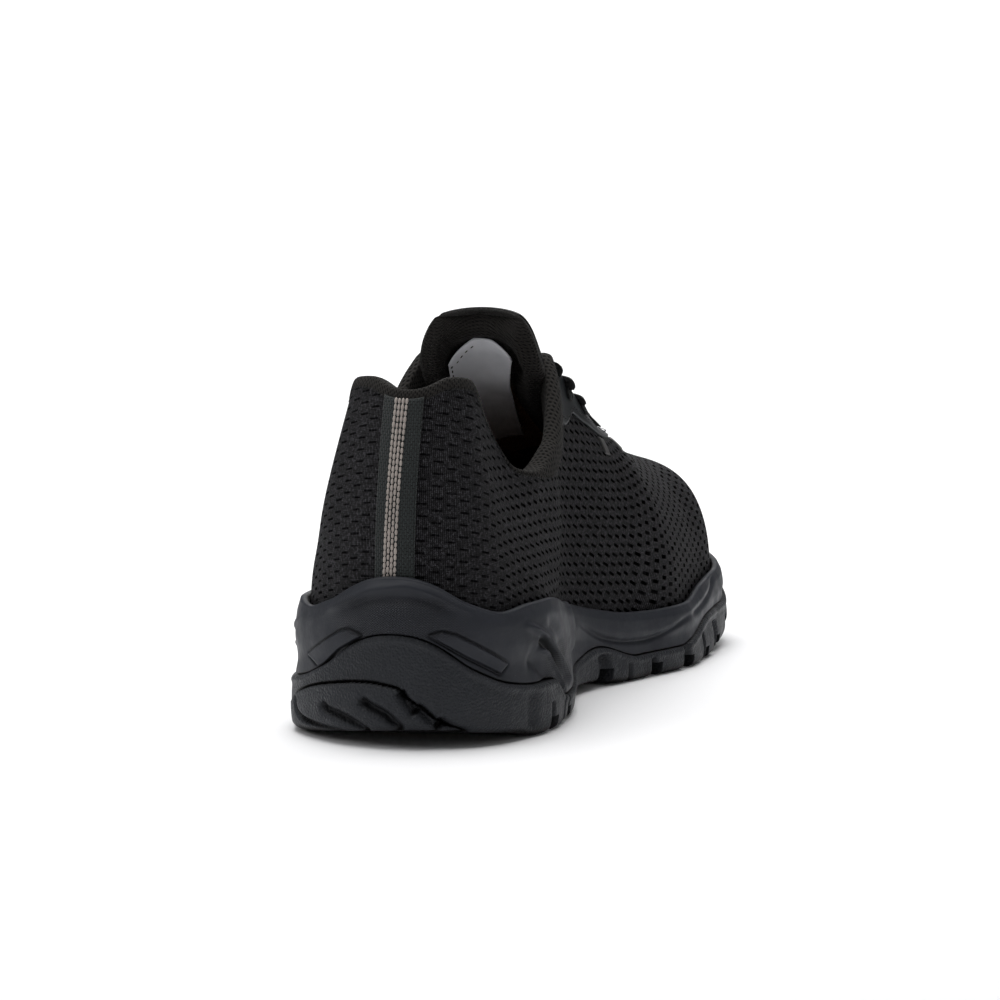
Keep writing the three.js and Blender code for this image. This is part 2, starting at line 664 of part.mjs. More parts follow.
// Grooves of the tread: some run in from each edge and chevrons cross the middle
function makeGrooves() {
  const cutters = [];
  for (const side of [1, -1]) {
    for (const row of edgeGrooveRows) {
      const turn = turnAt(row.at, side);
      const edge = outline(turn, 0);
      const reach = row.reach * ballWidth;
      const angle = THREE.MathUtils.degToRad(side * row.slant);
      const middle = (reach - grooveOverrun) / 2;
      const x = edge.x - side * Math.cos(angle) * middle;
      const y = edge.y - side * Math.sin(angle) * middle;
      const width = row.width * lugGap;
      const roof = floorAt(turn) + lugDepth;
      cutters.push(channel(x, y, reach + grooveOverrun, width, side * row.slant, roof));
    }
    for (const row of chevronRows) {
      const arm = row.arm * ballWidth;
      const angle = THREE.MathUtils.degToRad(side * row.slant);
      const x = plan.centre(row.at) * ballWidth + (side * Math.cos(angle) * arm) / 2;
      const y = (row.at - 0.5) * shoeLength + (side * Math.sin(angle) * arm) / 2;
      const roof = spring.inner(row.at) * soleHeight + lugDepth;
      cutters.push(channel(x, y, arm + lugGap, lugGap, side * row.slant, roof));
    }
  }
  return cutters;
}

// Insole: the footbed, lying on the midsole inside the upper
function makeInsole() {
  const loops = [];
  const place = (turn, lift, inset) => {
    const { at } = placeOf(turn);
    const z = seatAt(at) + gap + lift;
    const point = upperOut(turn, ribAtHeight(turn, z), -upperWall - gap - inset);
    point.z = z;
    return point;
  };
  loops.push(loopOf((turn) => place(turn, 0, 1.5)));
  loops.push(loopOf((turn) => place(turn, insoleThickness * 0.5, 0.6)));
  loops.push(loopOf((turn) => place(turn, insoleThickness, 0.9)));
  return stackOfLoops(loops, soleRungs);
}

// Padded collar lining: its section follows the upper's edge from one top eyelet round the heel to the other
function makeCollar(grown) {
  const reach = collarEnd + (2 * grown) / shoeLength + 1e-9;
  const half = upperStations().filter((at) => at <= reach).map((at) => turnAt(at, 1));
  const sections = [];
  const outer = -upperWall - curveGap;
  const rows = range(1 - liningRibs / ribSteps, 1, liningRibs);
  for (const turn of [...half.slice(1).reverse().map((next) => -next), ...half]) {
    const { at } = placeOf(turn);
    const edge = upperSkin(turn, 1);
    const out = normalOf(upperSkin, turn, 1);
    const up = edge.clone().sub(upperSkin(turn, 0.97)).normalize();
    const roll = collar.roll(at) * collarPad + grown;
    const pad = collar.pad(at) * collarPad + grown;
    const over = (off, lift) => edge.clone().addScaledVector(out, off).addScaledVector(up, lift);
    const inside = (rib, thickness) => upperOut(turn, rib, outer - thickness);
    sections.push([
      over(outer, gap),
      ...rows.slice(0, -1).reverse().map((rib) => inside(rib, 0)),
      inside(rows[0], 0.9 + grown),
      inside(rows[1], pad * 0.6),
      inside(rows[2], pad * 0.95),
      over(outer - pad, -roll * 0.4),
      over(outer - pad * 0.82, roll * 0.55),
      over(outer - pad * 0.3, roll),
      over(-0.4 * upperWall, roll * 0.96),
      over(0.35 * upperWall, roll * 0.55),
      over(0.35 * upperWall, gap),
    ]);
  }
  return sweptSections(sections);
}

// Tongue: a padded sheet that bends across the instep and thickens towards its top
function tonguePoint(along, across, off) {
  const half = tongueTable.half(along) * ballWidth;
  const bend = tongueTable.bend(along) * ballWidth;
  const step = 1e-3;
  const place = (k) =>
    new THREE.Vector3(
      tongueTable.centre(k) * ballWidth,
      (tongueTable.along(k) - 0.5) * shoeLength,
      tongueTable.up(k) * instepHeight + tongueTable.over(k) * tongueStand,
    );
  const here = place(along);
  const tangent = place(Math.min(along + step, 1)).sub(place(Math.max(along - step, 0))).normalize();
  const front = new THREE.Vector3(1, 0, 0).cross(tangent).normalize().negate();
  const corner = clamp((along - 0.82) / 0.18, 0, 1);
  const narrow = Math.sqrt(Math.max(1 - (0.74 * corner) ** 2.4, 0));
  const angle = (across * half * narrow) / bend;
  const radius = bend + off;
  return here
    .clone()
    .addScaledVector(front, radius * Math.cos(angle) - bend)
    .add(new THREE.Vector3(radius * Math.sin(angle), 0, 0));
}

function tongueSurface(across, along, off) {
  const last = clamp((along * tongueSteps - tongueSteps + 1), 0, 1);
  const thick = tongueTable.thick(along) * tongueThickness * mix(1, 0.5, last);
  const front = 0.5 * (1 - across ** 6);
  const back = 0.5 + 0.18 * across ** 2 - 0.5 * across ** 8;
  return tonguePoint(along, across, off >= 0 ? thick * front + off : off - thick * back);
}

function makeTongue() {
  const sections = range(0, 1, tongueSteps).map((along) => [
    ...range(-1, 1, tongueCross).map((across) => tongueSurface(across, along, 0)),
    ...range(1, -1, tongueCross).slice(1, -1).map((across) => tongueSurface(across, along, -1e-6)),
  ]);
  return sweptSections(sections);
}

function makeTongueTab() {
  const first = Math.round(tabFrom * tongueSteps);
  const vs = range(first, tongueSteps - 1, tongueSteps - 1 - first).map((step) => step / tongueSteps);
  const side = (tongueCross - 2) / tongueCross;
  return patch(tongueSurface, range(side, -side, tongueCross - 2), [...vs, 0.985], gap, gap + tabThickness);
}

function makeTongueLabel() {
  const place = (across, along, off) => tongueSurface(across, along, -off);
  const [first, last] = [labelFrom, labelTo].map((share) => Math.round(share * tongueSteps));
  const vs = range(first, last, last - first).map((step) => step / tongueSteps);
  return patch(place, range(-0.5, 0.5, tongueCross / 2), vs, gap, gap + labelThickness);
}

// Heel tape: a webbing strip on the back seam, from the midsole's peak to the collar's roll
function makeHeelTape() {
  const place = (across, share, off) => {
    const rib = mix(ribAtHeight(0, edgeAt(0) + gap), 0.992, share);
    return upperOut(turnAcross(rib, tapeOffset + (across * tapeWidth) / 2), rib, off);
  };
  return patch(place, range(-1, 1, 4), range(0.02, 1, 8), curveGap, curveGap + tapeThickness);
}

// The turn at which a rib lies a distance across from the heel's middle
function turnAcross(rib, distance) {
  const sign = distance < 0 ? -1 : 1;
  let low = 0;
  let high = 0.2;
  for (let i = 0; i < 26; i += 1) {
    const middle = (low + high) / 2;
    if (Math.abs(upperSkin(sign * middle, rib).x) < Math.abs(distance)) low = middle;
    else high = middle;
  }
  return (sign * (low + high)) / 2;
}

// How far down a rib a distance along the surface reaches from the opening
function ribBelowEdge(turn, distance) {
  let length = 0;
  let before = upperSkin(turn, 1);
  for (let i = 1; i <= 60; i += 1) {
    const rib = 1 - i / 60;
    const here = upperSkin(turn, rib);
    length += here.distanceTo(before);
    before = here;
    if (length >= distance) return rib;
  }
  return 0;
}

// Eyestay: a smooth band round the throat that widens to a panel at the top eyelet
function bandAt(at) {
  const panel = clamp((shareOf(eyestayPanelEnd) - at) / eyestayTaper, 0, 1);
  return mix(eyestayBand, eyestayPanel, panel * panel * (3 - 2 * panel));
}
function eyestaySide(side) {
  const along = upperStations().filter((at) => at > throatStart + 0.004 && at < throatEnd - 0.001);
  const us = [throatStart + 0.004, ...along].map((at) => turnAt(at, side));
  if (side < 0) us.reverse();
  const place = (turn, share, off) => {
    const low = ribBelowEdge(turn, bandAt(placeOf(turn).at));
    return upperOut(turn, mix(low, 0.985, share), off);
  };
  return patch(place, us, range(0, 1, 4), curveGap, curveGap + eyestayThickness);
}

// Places of the eyelets: share of the length and the point and normal on the upper
function eyelets() {
  return range(throatStart + eyeletMargin, throatEnd - 1.7 * eyeletMargin, eyeletPairs - 1).map((at) =>
    [1, -1].map((side) => {
      const turn = turnAt(at, side);
      const rib = ribBelowEdge(turn, eyeletDrop);
      const point = upperSkin(turn, rib);
      const rim = upperSkin(turn, 0.99);
      const [normal, rimNormal] = [rib, 0.99].map((share) => normalOf(upperSkin, turn, share));
      return { point, rim, normal, rimNormal };
    }),
  );
}

function eyeletCutter({ point, normal }) {
  const drill = 6 * upperWall;
  const hole = new THREE.CylinderGeometry(eyeletRadius, eyeletRadius, drill, 8);
  hole.applyQuaternion(new THREE.Quaternion().setFromUnitVectors(new THREE.Vector3(0, 1, 0), normal));
  hole.translate(point.x, point.y, point.z);
  return solidOf(hole);
}

function punched(solid) {
  return eyelets().flat().reduce((left, eyelet) => left.subtract(eyeletCutter(eyelet)), solid);
}

// Lace: crossings from eyelet to eyelet over the tongue, joined into one solid
const laceLift = curveGap + gap + eyestayThickness + laceHeight / 2;
function strand(from, to) {
  const tongueTop = (y) => {
    const at = y / shoeLength + 0.5;
    let low = 0;
    let high = 1;
    for (let i = 0; i < 20; i += 1) {
      const middle = (low + high) / 2;
      if (tongueTable.along(middle) > at) low = middle;
      else high = middle;
    }
    const thick = tongueTable.thick(low) * tongueThickness;
    return tonguePoint(low, 0, thick / 2 + gap * 2 + laceHeight / 2);
  };
  const ends = [from, to].map((eyelet, i) => {
    const aside = new THREE.Vector3(0, (i - 0.5) * laceStep, 0);
    return [
      eyelet.point.clone().addScaledVector(eyelet.normal, laceLift + 0.2).add(aside),
      eyelet.rim.clone().addScaledVector(eyelet.rimNormal, laceLift + laceRise).add(aside),
    ];
  });
  const crown = tongueTop((ends[0][1].y + ends[1][1].y) / 2);
  crown.x = (ends[0][1].x + ends[1][1].x) / 2;
  crown.z = Math.max(crown.z, (ends[0][1].z + ends[1][1].z) / 2 + 1.2);
  const line = new THREE.CatmullRomCurve3([...ends[0], crown, ends[1][1], ends[1][0]]);
  const sections = [0, 0.2, 0.35, 0.5, 0.65, 0.8, 1].map((k) => {
    const centre = line.getPoint(k);
    const tangent = line.getTangent(k);
    const middle = new THREE.Vector3(0, 0.6, 0.8);
    const side = k < 0.5 ? from.normal : to.normal;
    const up = side.clone().lerp(middle, 1 - Math.abs(2 * k - 1)).normalize();
    const across = tangent.clone().cross(up).normalize();
    const lifted = across.clone().cross(tangent).normalize();
    return range(0, 2 * Math.PI, laceSides).slice(0, -1).map((angle) =>
      centre
        .clone()
        .addScaledVector(across, (Math.cos(angle) * laceWidth) / 2)
        .addScaledVector(lifted, (Math.sin(angle) * laceHeight) / 2),
    );
  });
  return sweptSections(sections);
}

function makeLace() {
  const pairs = eyelets();
  const strands = [strand(pairs[eyeletPairs - 1][0], pairs[eyeletPairs - 1][1])];
  for (let i = 0; i < eyeletPairs - 1; i += 1) {
    strands.push(strand(pairs[i][0], pairs[i + 1][1]));
    strands.push(strand(pairs[i][1], pairs[i + 1][0]));
  }
  return strands.reduce((all, next) => all.add(next));
}

// Reflective mark on the upper beside the eyestay
function makeMark(at, side) {
  const us = range(at, at + markLength / shoeLength, 3).map((share) => turnAt(share, side));
  if (side < 0) us.reverse();
  const place = (turn, share, off) => {
    const high = ribBelowEdge(turn, eyestayBand + 1.5);
    const low = ribBelowEdge(turn, eyestayBand + 1.5 + markDrop);
    return upperOut(turn, mix(low, high, share), off);
  };
  return patch(place, us, range(0, 1, 2), curveGap, curveGap + markThickness);
}

const finishes = {
  outsole: { color: 0x1d1e20, roughness: 0.62, metalness: 0 },
  midsole: { color: 0x222427, roughness: 0.55, metalness: 0 },
  upper: { color: 0x17161a, roughness: 0.9, metalness: 0 },
  lining: { color: 0x1c1b1a, roughness: 0.95, metalness: 0 },
  film: { color: 0x25282c, roughness: 0.45, metalness: 0 },
  webbing: { color: 0x232827, roughness: 0.85, metalness: 0 },
  reflective: { color: 0x8d8582, roughness: 0.6, metalness: 0 },
  label: { color: 0xc9cbd2, roughness: 0.7, metalness: 0 },
  insole: { color: 0x2a241f, roughness: 0.95, metalness: 0 },
  lace: { color: 0x121213, roughness: 0.9, metalness: 0 },
};

const shoe = new THREE.Group();
function add(name, solid, finish) {
  const mesh = new THREE.Mesh(geometryOf(solid), new THREE.MeshStandardMaterial(finishes[finish]));
  mesh.name = name;
  shoe.add(mesh);
}

add("outsole", makeOutsole(), "outsole");
add("midsole", makeMidsole(), "midsole");
add("insole", makeInsole(), "insole");
add("upper", punched(upperShell(0, -upperWall, 0)), "upper");
add("collar_lining", largest(makeCollar(0).subtract(upperShell(gap, -upperWall - gap, 0))), "lining");
const aroundTongue = upperShell(gap, -upperWall - gap - curveGap, gap).add(makeCollar(5 * gap));
add("tongue", largest(makeTongue().subtract(aroundTongue)), "lining");
add("tongue_tab", largest(makeTongueTab().subtract(aroundTongue)), "film");
add("tongue_label", makeTongueLabel(), "label");
add("heel_tape", makeHeelTape(), "webbing");
add("eyestay_inner", punched(eyestaySide(1)), "film");
add("eyestay_outer", punched(eyestaySide(-1)), "film");
add("lace", makeLace(), "lace");
for (const row of placed(markRows)) {
  add(`mark_inner_${row.mark}`, makeMark(row.at, 1), "reflective");
  add(`mark_outer_${row.mark}`, makeMark(row.at, -1), "reflective");
}

// The frame: the middle of the shoe's box in plan, on the floor
const box = new THREE.Box3().setFromObject(shoe);
shoe.position.set(-(box.min.x + box.max.x) / 2, -(box.min.y + box.max.y) / 2, -box.min.z);

export default shoe;
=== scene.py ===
import math

import bpy
import numpy as np
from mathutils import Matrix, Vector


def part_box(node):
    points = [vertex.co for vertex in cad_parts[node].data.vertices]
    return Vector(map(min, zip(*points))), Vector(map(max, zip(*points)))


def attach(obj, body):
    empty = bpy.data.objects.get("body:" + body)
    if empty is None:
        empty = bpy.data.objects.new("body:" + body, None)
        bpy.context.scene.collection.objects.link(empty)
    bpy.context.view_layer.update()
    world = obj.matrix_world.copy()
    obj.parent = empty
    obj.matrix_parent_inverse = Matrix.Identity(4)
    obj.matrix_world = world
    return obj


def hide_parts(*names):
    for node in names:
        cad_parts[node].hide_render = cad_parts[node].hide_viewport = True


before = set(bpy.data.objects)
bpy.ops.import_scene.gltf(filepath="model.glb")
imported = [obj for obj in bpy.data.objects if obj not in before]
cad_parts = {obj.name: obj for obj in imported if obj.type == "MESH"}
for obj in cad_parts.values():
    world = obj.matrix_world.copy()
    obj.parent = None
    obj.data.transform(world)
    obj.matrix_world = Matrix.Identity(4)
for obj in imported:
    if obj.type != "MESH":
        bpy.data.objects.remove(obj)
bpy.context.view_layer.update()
mm = 0.001

# Driving sizes, the same as the solids'
shoe = dict(
    length=300, ball=110, instep=117.5, sole=52.5, seat=27, toeTip=51.5, inset=5.7, wall=2.2, gap=0.3,
    lean=11.2, leanReach=0.3, bulge=1.9, outerBulge=3, lip=3, proud=0.8, throatStart=0.385, throatEnd=0.66,
    heelRound=0.198, toeRound=0.249, roundPower=2.11, collarPad=6, tongueThick=6.5, tongueStand=18.5,
)


# Columns by name from rows of numbers.
def table(names, *rows):
    return {name: np.array([row[i] for row in rows], float) for i, name in enumerate(names.split())}


planRows = table(
    "at centre half",
    (0, 0, 0.4), (0.12, -0.04, 0.405), (0.26, -0.026, 0.365), (0.4, -0.036, 0.297), (0.54, -0.03, 0.4),
    (0.67, -0.024, 0.5), (0.8, -0.008, 0.486), (0.91, 0.044, 0.474), (1, 0.061, 0.417),
)
springRows = table(
    "at inner outer",
    (0, 0.133, 0.103), (0.04, 0.087, 0.054), (0.085, 0.052, 0.015), (0.13, 0, 0), (0.29, 0, 0),
    (0.36, 0.05, 0.03), (0.44, 0.05, 0.03), (0.52, 0, 0), (0.73, 0, 0), (0.82, 0.044, 0.044),
    (0.91, 0.165, 0.155), (1, 0.32, 0.32),
)
soleRows = table(
    "at seat rubber edge",
    (0, 1, 0.701, 1.046), (0.03, 1, 0.481, 0.873), (0.07, 1, 0.369, 0.797), (0.12, 0.99, 0.329, 0.818),
    (0.16, 0.985, 0.324, 0.818), (0.2, 0.97, 0.2, 0.795), (0.25, 0.94, 0.165, 0.734),
    (0.3, 0.905, 0.187, 0.697), (0.35, 0.86, 0.215, 0.659), (0.4, 0.81, 0.23, 0.609),
    (0.46, 0.75, 0.279, 0.537), (0.54, 0.675, 0.165, 0.46), (0.6, 0.64, 0.15, 0.445),
    (0.68, 0.62, 0.217, 0.444), (0.76, 0.63, 0.312, 0.519), (0.86, 0.7, 0.329, 0.565),
    (0.94, 0.84, 0.467, 0.647), (1, 1, 0.555, 0.792),
)
wallRows = table(
    "at out", (0, -0.22), (0.06, 0.02), (0.3, 0.14), (0.55, 0.1), (0.74, 0.27), (0.88, 0.22), (1, 0),
)
upperRows = table(
    "at edge height outer rise swell run drop",
    (0, 0.2, 0.956, 0.956, 0.361, 0.011, 0.256, 0.337),
    (0.078, 0.225, 0.987, 0.987, 0.361, 0.011, 0.256, 0.337),
    (0.156, 0.236, 0.981, 0.981, 0.34, 0.02, 0.275, 0.268),
    (0.312, 0.234, 0.852, 0.849, 0.35, 0.02, 0.277, 0.325),
    (0.468, 0.262, 0.72, 0.708, 0.393, 0.028, 0.261, 0.321),
    (0.597, 0.283, 0.703, 0.683, 0.419, 0.012, 0.28, 0.3),
    (0.727, 0.292, 0.743, 0.725, 0.45, 0.013, 0.301, 0.28),
    (0.857, 0.272, 0.857, 0.845, 0.48, 0.006, 0.36, 0.26),
    (0.948, 0.238, 0.958, 0.952, 0.51, 0, 0.42, 0.24),
    (1, 0.212, 1, 1, 0.52, 0, 0.45, 0.22),
    (1.127, 0.2, 0.98, 0.98, 0.52, 0, 0.48, 0.2),
    (1.418, 0.192, 0.89, 0.89, 0.531, 0.004, 0.552, 0.138),
    (1.782, 0.152, 0.783, 0.783, 0.562, 0.008, 0.607, 0.06),
    (1.927, 0.098, 0.763, 0.763, 0.563, 0.01, 0.619, 0.02),
    (2, 0, 0.754, 0.754, 0.57, 0.015, 0.625, 0),
    (2.176, 0, 0.722, 0.722, 0.56, 0.01, 0.635, 0),
    (2.412, 0, 0.677, 0.677, 0.53, 0.015, 0.672, 0),
    (2.647, 0, 0.652, 0.652, 0.715, 0.024, 0.695, 0),
    (3, 0, 0.669, 0.669, 0.827, 0.021, 0.715, 0),
)
collarRows = table(
    "at roll pad",
    (0, 0.5, 1), (0.26, 0.45, 1), (0.519, 0.5, 1), (0.701, 0.9, 0.85), (0.831, 1.15, 0.6),
    (0.935, 0.8, 0.4), (1, 0.5, 0.4),
)
tongueRows = table(
    "at along up over centre half bend thick",
    (0, 2.118, 0.648, 0, -0.02, 0.19, 0.42, 0.35),
    (0.2, 1.855, 0.694, 0, -0.024, 0.21, 0.36, 0.5),
    (0.45, 1.491, 0.799, 0, -0.026, 0.22, 0.3, 0.65),
    (0.7, 1.127, 0.932, 0, -0.024, 0.22, 0.27, 0.85),
    (0.85, 0.961, 1, 0.265, -0.012, 0.23, 0.26, 1.1),
    (1, 0.87, 1, 1, -0.004, 0.21, 0.26, 1.1),
)


# Share of the length at a station of the upper, where 1 is the top eyelet and 2 the foot of the lacing.
def shareOf(station):
    start, end = shoe["throatStart"], shoe["throatEnd"]
    return np.interp(station, [0, 1, 2, 3], [0, start, end, 1])


for rows in (upperRows, collarRows):
    rows["at"] = shareOf(rows["at"])
tongueRows["along"] = shareOf(tongueRows["along"])


# A smooth value from a table's column, with no overshoot between its rows.
def column(rows, key, t):
    at, value = rows["at"], rows[key]
    step = np.diff(at)
    slope = np.diff(value) / step
    tangent = np.zeros(len(at))
    tangent[0], tangent[-1] = slope[0], slope[-1]
    for i in range(1, len(at) - 1):
        if slope[i - 1] * slope[i] > 0:
            near, far = 2 * step[i] + step[i - 1], step[i] + 2 * step[i - 1]
            tangent[i] = (near + far) / (near / slope[i - 1] + far / slope[i])
    t = np.clip(t, at[0], at[-1])
    i = np.clip(np.searchsorted(at, t, side="right") - 1, 0, len(at) - 2)
    k = (t - at[i]) / step[i]
    r = 1 - k
    return (
        value[i] * (1 + 2 * k) * r * r + tangent[i] * step[i] * k * r * r
        + value[i + 1] * k * k * (3 - 2 * k) - tangent[i + 1] * step[i] * k * k * r
    )


def mix(a, b, k):
    return a + (b - a) * k


def smooth(low, high, x):
    k = np.clip((x - low) / (high - low), 0, 1)
    return k * k * (3 - 2 * k)


# The shoe's surfaces, as in the solids
def closing(at):
    heel = np.clip((shoe["heelRound"] - at) / shoe["heelRound"], 0, 1)
    toe = np.clip((at - 1 + shoe["toeRound"]) / shoe["toeRound"], 0, 1)
    power = shoe["roundPower"]
    return np.maximum(1 - np.maximum(heel, toe) ** power, 0) ** (1 / power)


def placeOf(turn):
    whole = turn - np.floor(turn)
    return 0.5 - 0.5 * np.cos(2 * np.pi * whole), np.where(whole <= 0.5, 1.0, -1.0)


def turnAt(at, side):
    half = np.arccos(1 - 2 * np.clip(at, 0, 1)) / (2 * np.pi)
    return half if side > 0 else 1 - half


def outerShare(turn):
    s = np.sin(2 * np.pi * turn)
    return 0.5 - 0.5 * s / np.hypot(s, 0.12)


def outline(turn, inset):
    at, side = placeOf(turn)
    half = (column(planRows, "half", at) * shoe["ball"] - inset) * closing(at)
    return column(planRows, "centre", at) * shoe["ball"] + side * half, (at - 0.5) * (shoe["length"] - 2 * inset)


def seatAt(at):
    return column(soleRows, "seat", at) * shoe["seat"]


def edgeAt(turn):
    return column(soleRows, "edge", placeOf(turn)[0]) * shoe["sole"]


def rubberAt(turn):
    return column(soleRows, "rubber", placeOf(turn)[0]) * shoe["sole"]


def floorAt(turn):
    at = placeOf(turn)[0]
    inner, outer = column(springRows, "inner", at), column(springRows, "outer", at)
    return mix(inner, outer, outerShare(turn)) * shoe["sole"]


def upperSkin(turn, rib):
    at, side = placeOf(turn)
    footX, footY = outline(turn, shoe["inset"])
    centre = column(planRows, "centre", at) * shoe["ball"]
    base = seatAt(at) + shoe["gap"]
    half = np.abs(footX - centre)
    shut = closing(at)
    edge = column(upperRows, "edge", at) * shoe["ball"] * shut
    height = mix(column(upperRows, "height", at), column(upperRows, "outer", at), outerShare(turn)) * shoe["instep"]
    top = np.where(at > 1 - shoe["toeRound"], mix(shoe["toeTip"], height, shut), height)
    rise = top - base
    swell = column(upperRows, "swell", at) * shoe["ball"] * shut
    full = shoe["outerBulge"] * outerShare(turn) * shut * np.clip(2 - at / shoe["leanReach"], 0, 1) ** 2
    rest = 1 - rib
    weights = [rest**3, 3 * rib * rest**2, 3 * rib**2 * rest, rib**3]
    across = [half, half + swell + full, mix(edge, half, column(upperRows, "run", at)) + full, edge]
    up = [base, base + column(upperRows, "rise", at) * rise, top - column(upperRows, "drop", at) * rise, top]
    x = sum(w * a for w, a in zip(weights, across))
    z = sum(w * a for w, a in zip(weights, up))
    tall = (z - base) / (shoe["instep"] - base)
    share = np.clip(1 - at / shoe["leanReach"], 0, 1) ** 2
    lean = shoe["lean"] * np.maximum(tall, 0) ** 2.2 - shoe["bulge"] * np.sin(np.pi * np.clip(tall, 0, 1))
    return np.stack([centre + side * x, footY + share * lean, z], -1)


def unit(v):
    return v / np.maximum(np.linalg.norm(v, axis=-1, keepdims=True), 1e-12)


def upperNormal(turn, rib):
    step = 1e-3
    low = np.clip(rib, 2 * step, 1 - 4 * step)
    along = upperSkin(turn + step, low) - upperSkin(turn - step, low)
    across = upperSkin(turn, low + step) - upperSkin(turn, low - step)
    made = unit(np.cross(along, across))
    at = placeOf(turn)[0]
    before, after = upperSkin(turnAt(at - 4e-3, 1), 1.0 + 0 * at), upperSkin(turnAt(at + 4e-3, 1), 1.0 + 0 * at)
    ridge = unit(np.stack([0 * at, before[..., 2] - after[..., 2], after[..., 1] - before[..., 1]], -1))
    blend = smooth(0.95, 1, rib) * smooth(shoe["throatEnd"] - 0.004, shoe["throatEnd"] + 0.01, at)
    return unit(mix(made, ridge, blend[..., None]))


def upperOut(turn, rib, off):
    turn, rib = np.broadcast_arrays(np.asarray(turn, float), np.asarray(rib, float))
    return upperSkin(turn, rib) + np.asarray(off)[..., None] * upperNormal(turn, rib)


def ribAtHeight(turn, z):
    low, high = np.zeros_like(turn), np.ones_like(turn)
    for _ in range(20):
        middle = (low + high) / 2
        below = upperSkin(turn, middle)[..., 2] < z
        low, high = np.where(below, middle, low), np.where(below, high, middle)
    return (low + high) / 2


def awayAt(turn):
    x1, y1 = outline(turn - 1e-3, 0)
    x2, y2 = outline(turn + 1e-3, 0)
    return unit(np.stack([y2 - y1, x1 - x2, 0 * x1], -1))


def soleSkin(turn, share):
    floor, edge = floorAt(turn), edgeAt(turn)
    baseX, baseY = outline(turn, 0)
    lip = upperOut(turn, ribAtHeight(turn, edge), shoe["gap"] + shoe["lip"])
    ease = share * share * (3 - 2 * share)
    point = np.stack([mix(baseX, lip[..., 0], ease), mix(baseY, lip[..., 1], ease), mix(floor, edge, share)], -1)
    return point + (column(wallRows, "out", share) * shoe["inset"])[..., None] * awayAt(turn)


def shareAtHeight(turn, z):
    return (z - floorAt(turn)) / (edgeAt(turn) - floorAt(turn))


# Distance round the outline from the heel, plus on the inner side, for patterns and creases
aroundTurns = np.linspace(-0.5, 0.5, 8001)
aroundX, aroundY = outline(aroundTurns, 0)
aroundMm = np.concatenate([[0], np.cumsum(np.hypot(np.diff(aroundX), np.diff(aroundY)))])
aroundMm -= np.interp(0, aroundTurns, aroundMm)


def aroundAt(turn):
    return np.interp(turn, aroundTurns, aroundMm)


def turnAround(distance):
    return np.interp(distance, aroundMm, aroundTurns)


# Turns round the sole, as many in the 120 mm each side of the heel as in all the rest.
def soleTurns(count):
    half = count // 2
    near = np.linspace(0, 120, half // 2 + 1)
    ends = {1: aroundMm[-1], -1: -aroundMm[0]}
    inner = np.concatenate([near, np.linspace(120, ends[1], half - half // 2 + 1)[1:]])
    outer = np.concatenate([near, np.linspace(120, ends[-1], half - half // 2 + 1)[1:]])
    return np.concatenate([turnAround(inner), 1 + turnAround(-outer[1:-1][::-1])])


# The solids were centred on their box, so the same shift comes from the outsole's own box
def frameShift():
    turn = np.linspace(0, 1, 721)[:, None]
    share = np.linspace(0, 1, 41)[None, :]
    turn, share = np.broadcast_arrays(turn, share)
    wall = soleSkin(turn, share)
    off = np.where(wall[..., 2:] < np.maximum(rubberAt(turn), floorAt(turn) + 8.9)[..., None], shoe["proud"], -9)
    grown = wall + off * awayAt(turn)
    low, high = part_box("outsole")
    own = (grown.reshape(-1, 3).min(0) + grown.reshape(-1, 3).max(0)) / 2
    return np.array([(low[0] + high[0]) / 2 / mm - own[0], (low[1] + high[1]) / 2 / mm - own[1], 0.0])


shift = frameShift()
print("shift", shift.round(2))


# Meshes
# A mesh piece at the origin from points in millimetres and arrays of triangles or quads.
def meshFrom(name, points, faces, uv=None, smoothFaces=True):
    data = bpy.data.meshes.new(name)
    points = (np.asarray(points, float) + shift) * mm
    groups = [np.asarray(group, np.int32) for group in (faces if isinstance(faces, list) else [faces])]
    corners = np.concatenate([group.ravel() for group in groups])
    totals = np.concatenate([np.full(len(group), group.shape[1], np.int32) for group in groups])
    data.vertices.add(len(points))
    data.vertices.foreach_set("co", points.astype(np.float32).ravel())
    data.loops.add(len(corners))
    data.loops.foreach_set("vertex_index", corners)
    data.polygons.add(len(totals))
    data.polygons.foreach_set("loop_start", np.cumsum(totals) - totals)
    data.polygons.foreach_set("loop_total", totals)
    data.polygons.foreach_set("use_smooth", np.full(len(totals), smoothFaces))
    data.update(calc_edges=True)
    if uv is not None:
        layer = data.uv_layers.new(name="pattern")
        layer.data.foreach_set("uv", np.asarray(uv, np.float32)[corners].ravel())
    made = bpy.data.objects.new(name, data)
    bpy.context.scene.collection.objects.link(made)
    return made


# One number for each vertex, for the materials.
def pointValues(made, name, values):
    layer = made.data.attributes.new(name, "FLOAT", "POINT")
    layer.data.foreach_set("value", np.asarray(values, np.float32).ravel())


def gridFaces(rows, cols, closeRows=False, closeCols=False, start=0):
    i = np.arange(rows if closeRows else rows - 1)[:, None]
    j = np.arange(cols if closeCols else cols - 1)[None, :]
    a = i * cols + j
    b = ((i + 1) % rows) * cols + j
    c = ((i + 1) % rows) * cols + (j + 1) % cols
    d = i * cols + (j + 1) % cols
    return np.stack([a, b, c, d], -1).reshape(-1, 4) + start


def finishPiece(obj, material, replaced=()):
    obj.data.materials.append(material)
    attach(obj, "root")
    if replaced:
        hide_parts(*replaced)
    return obj


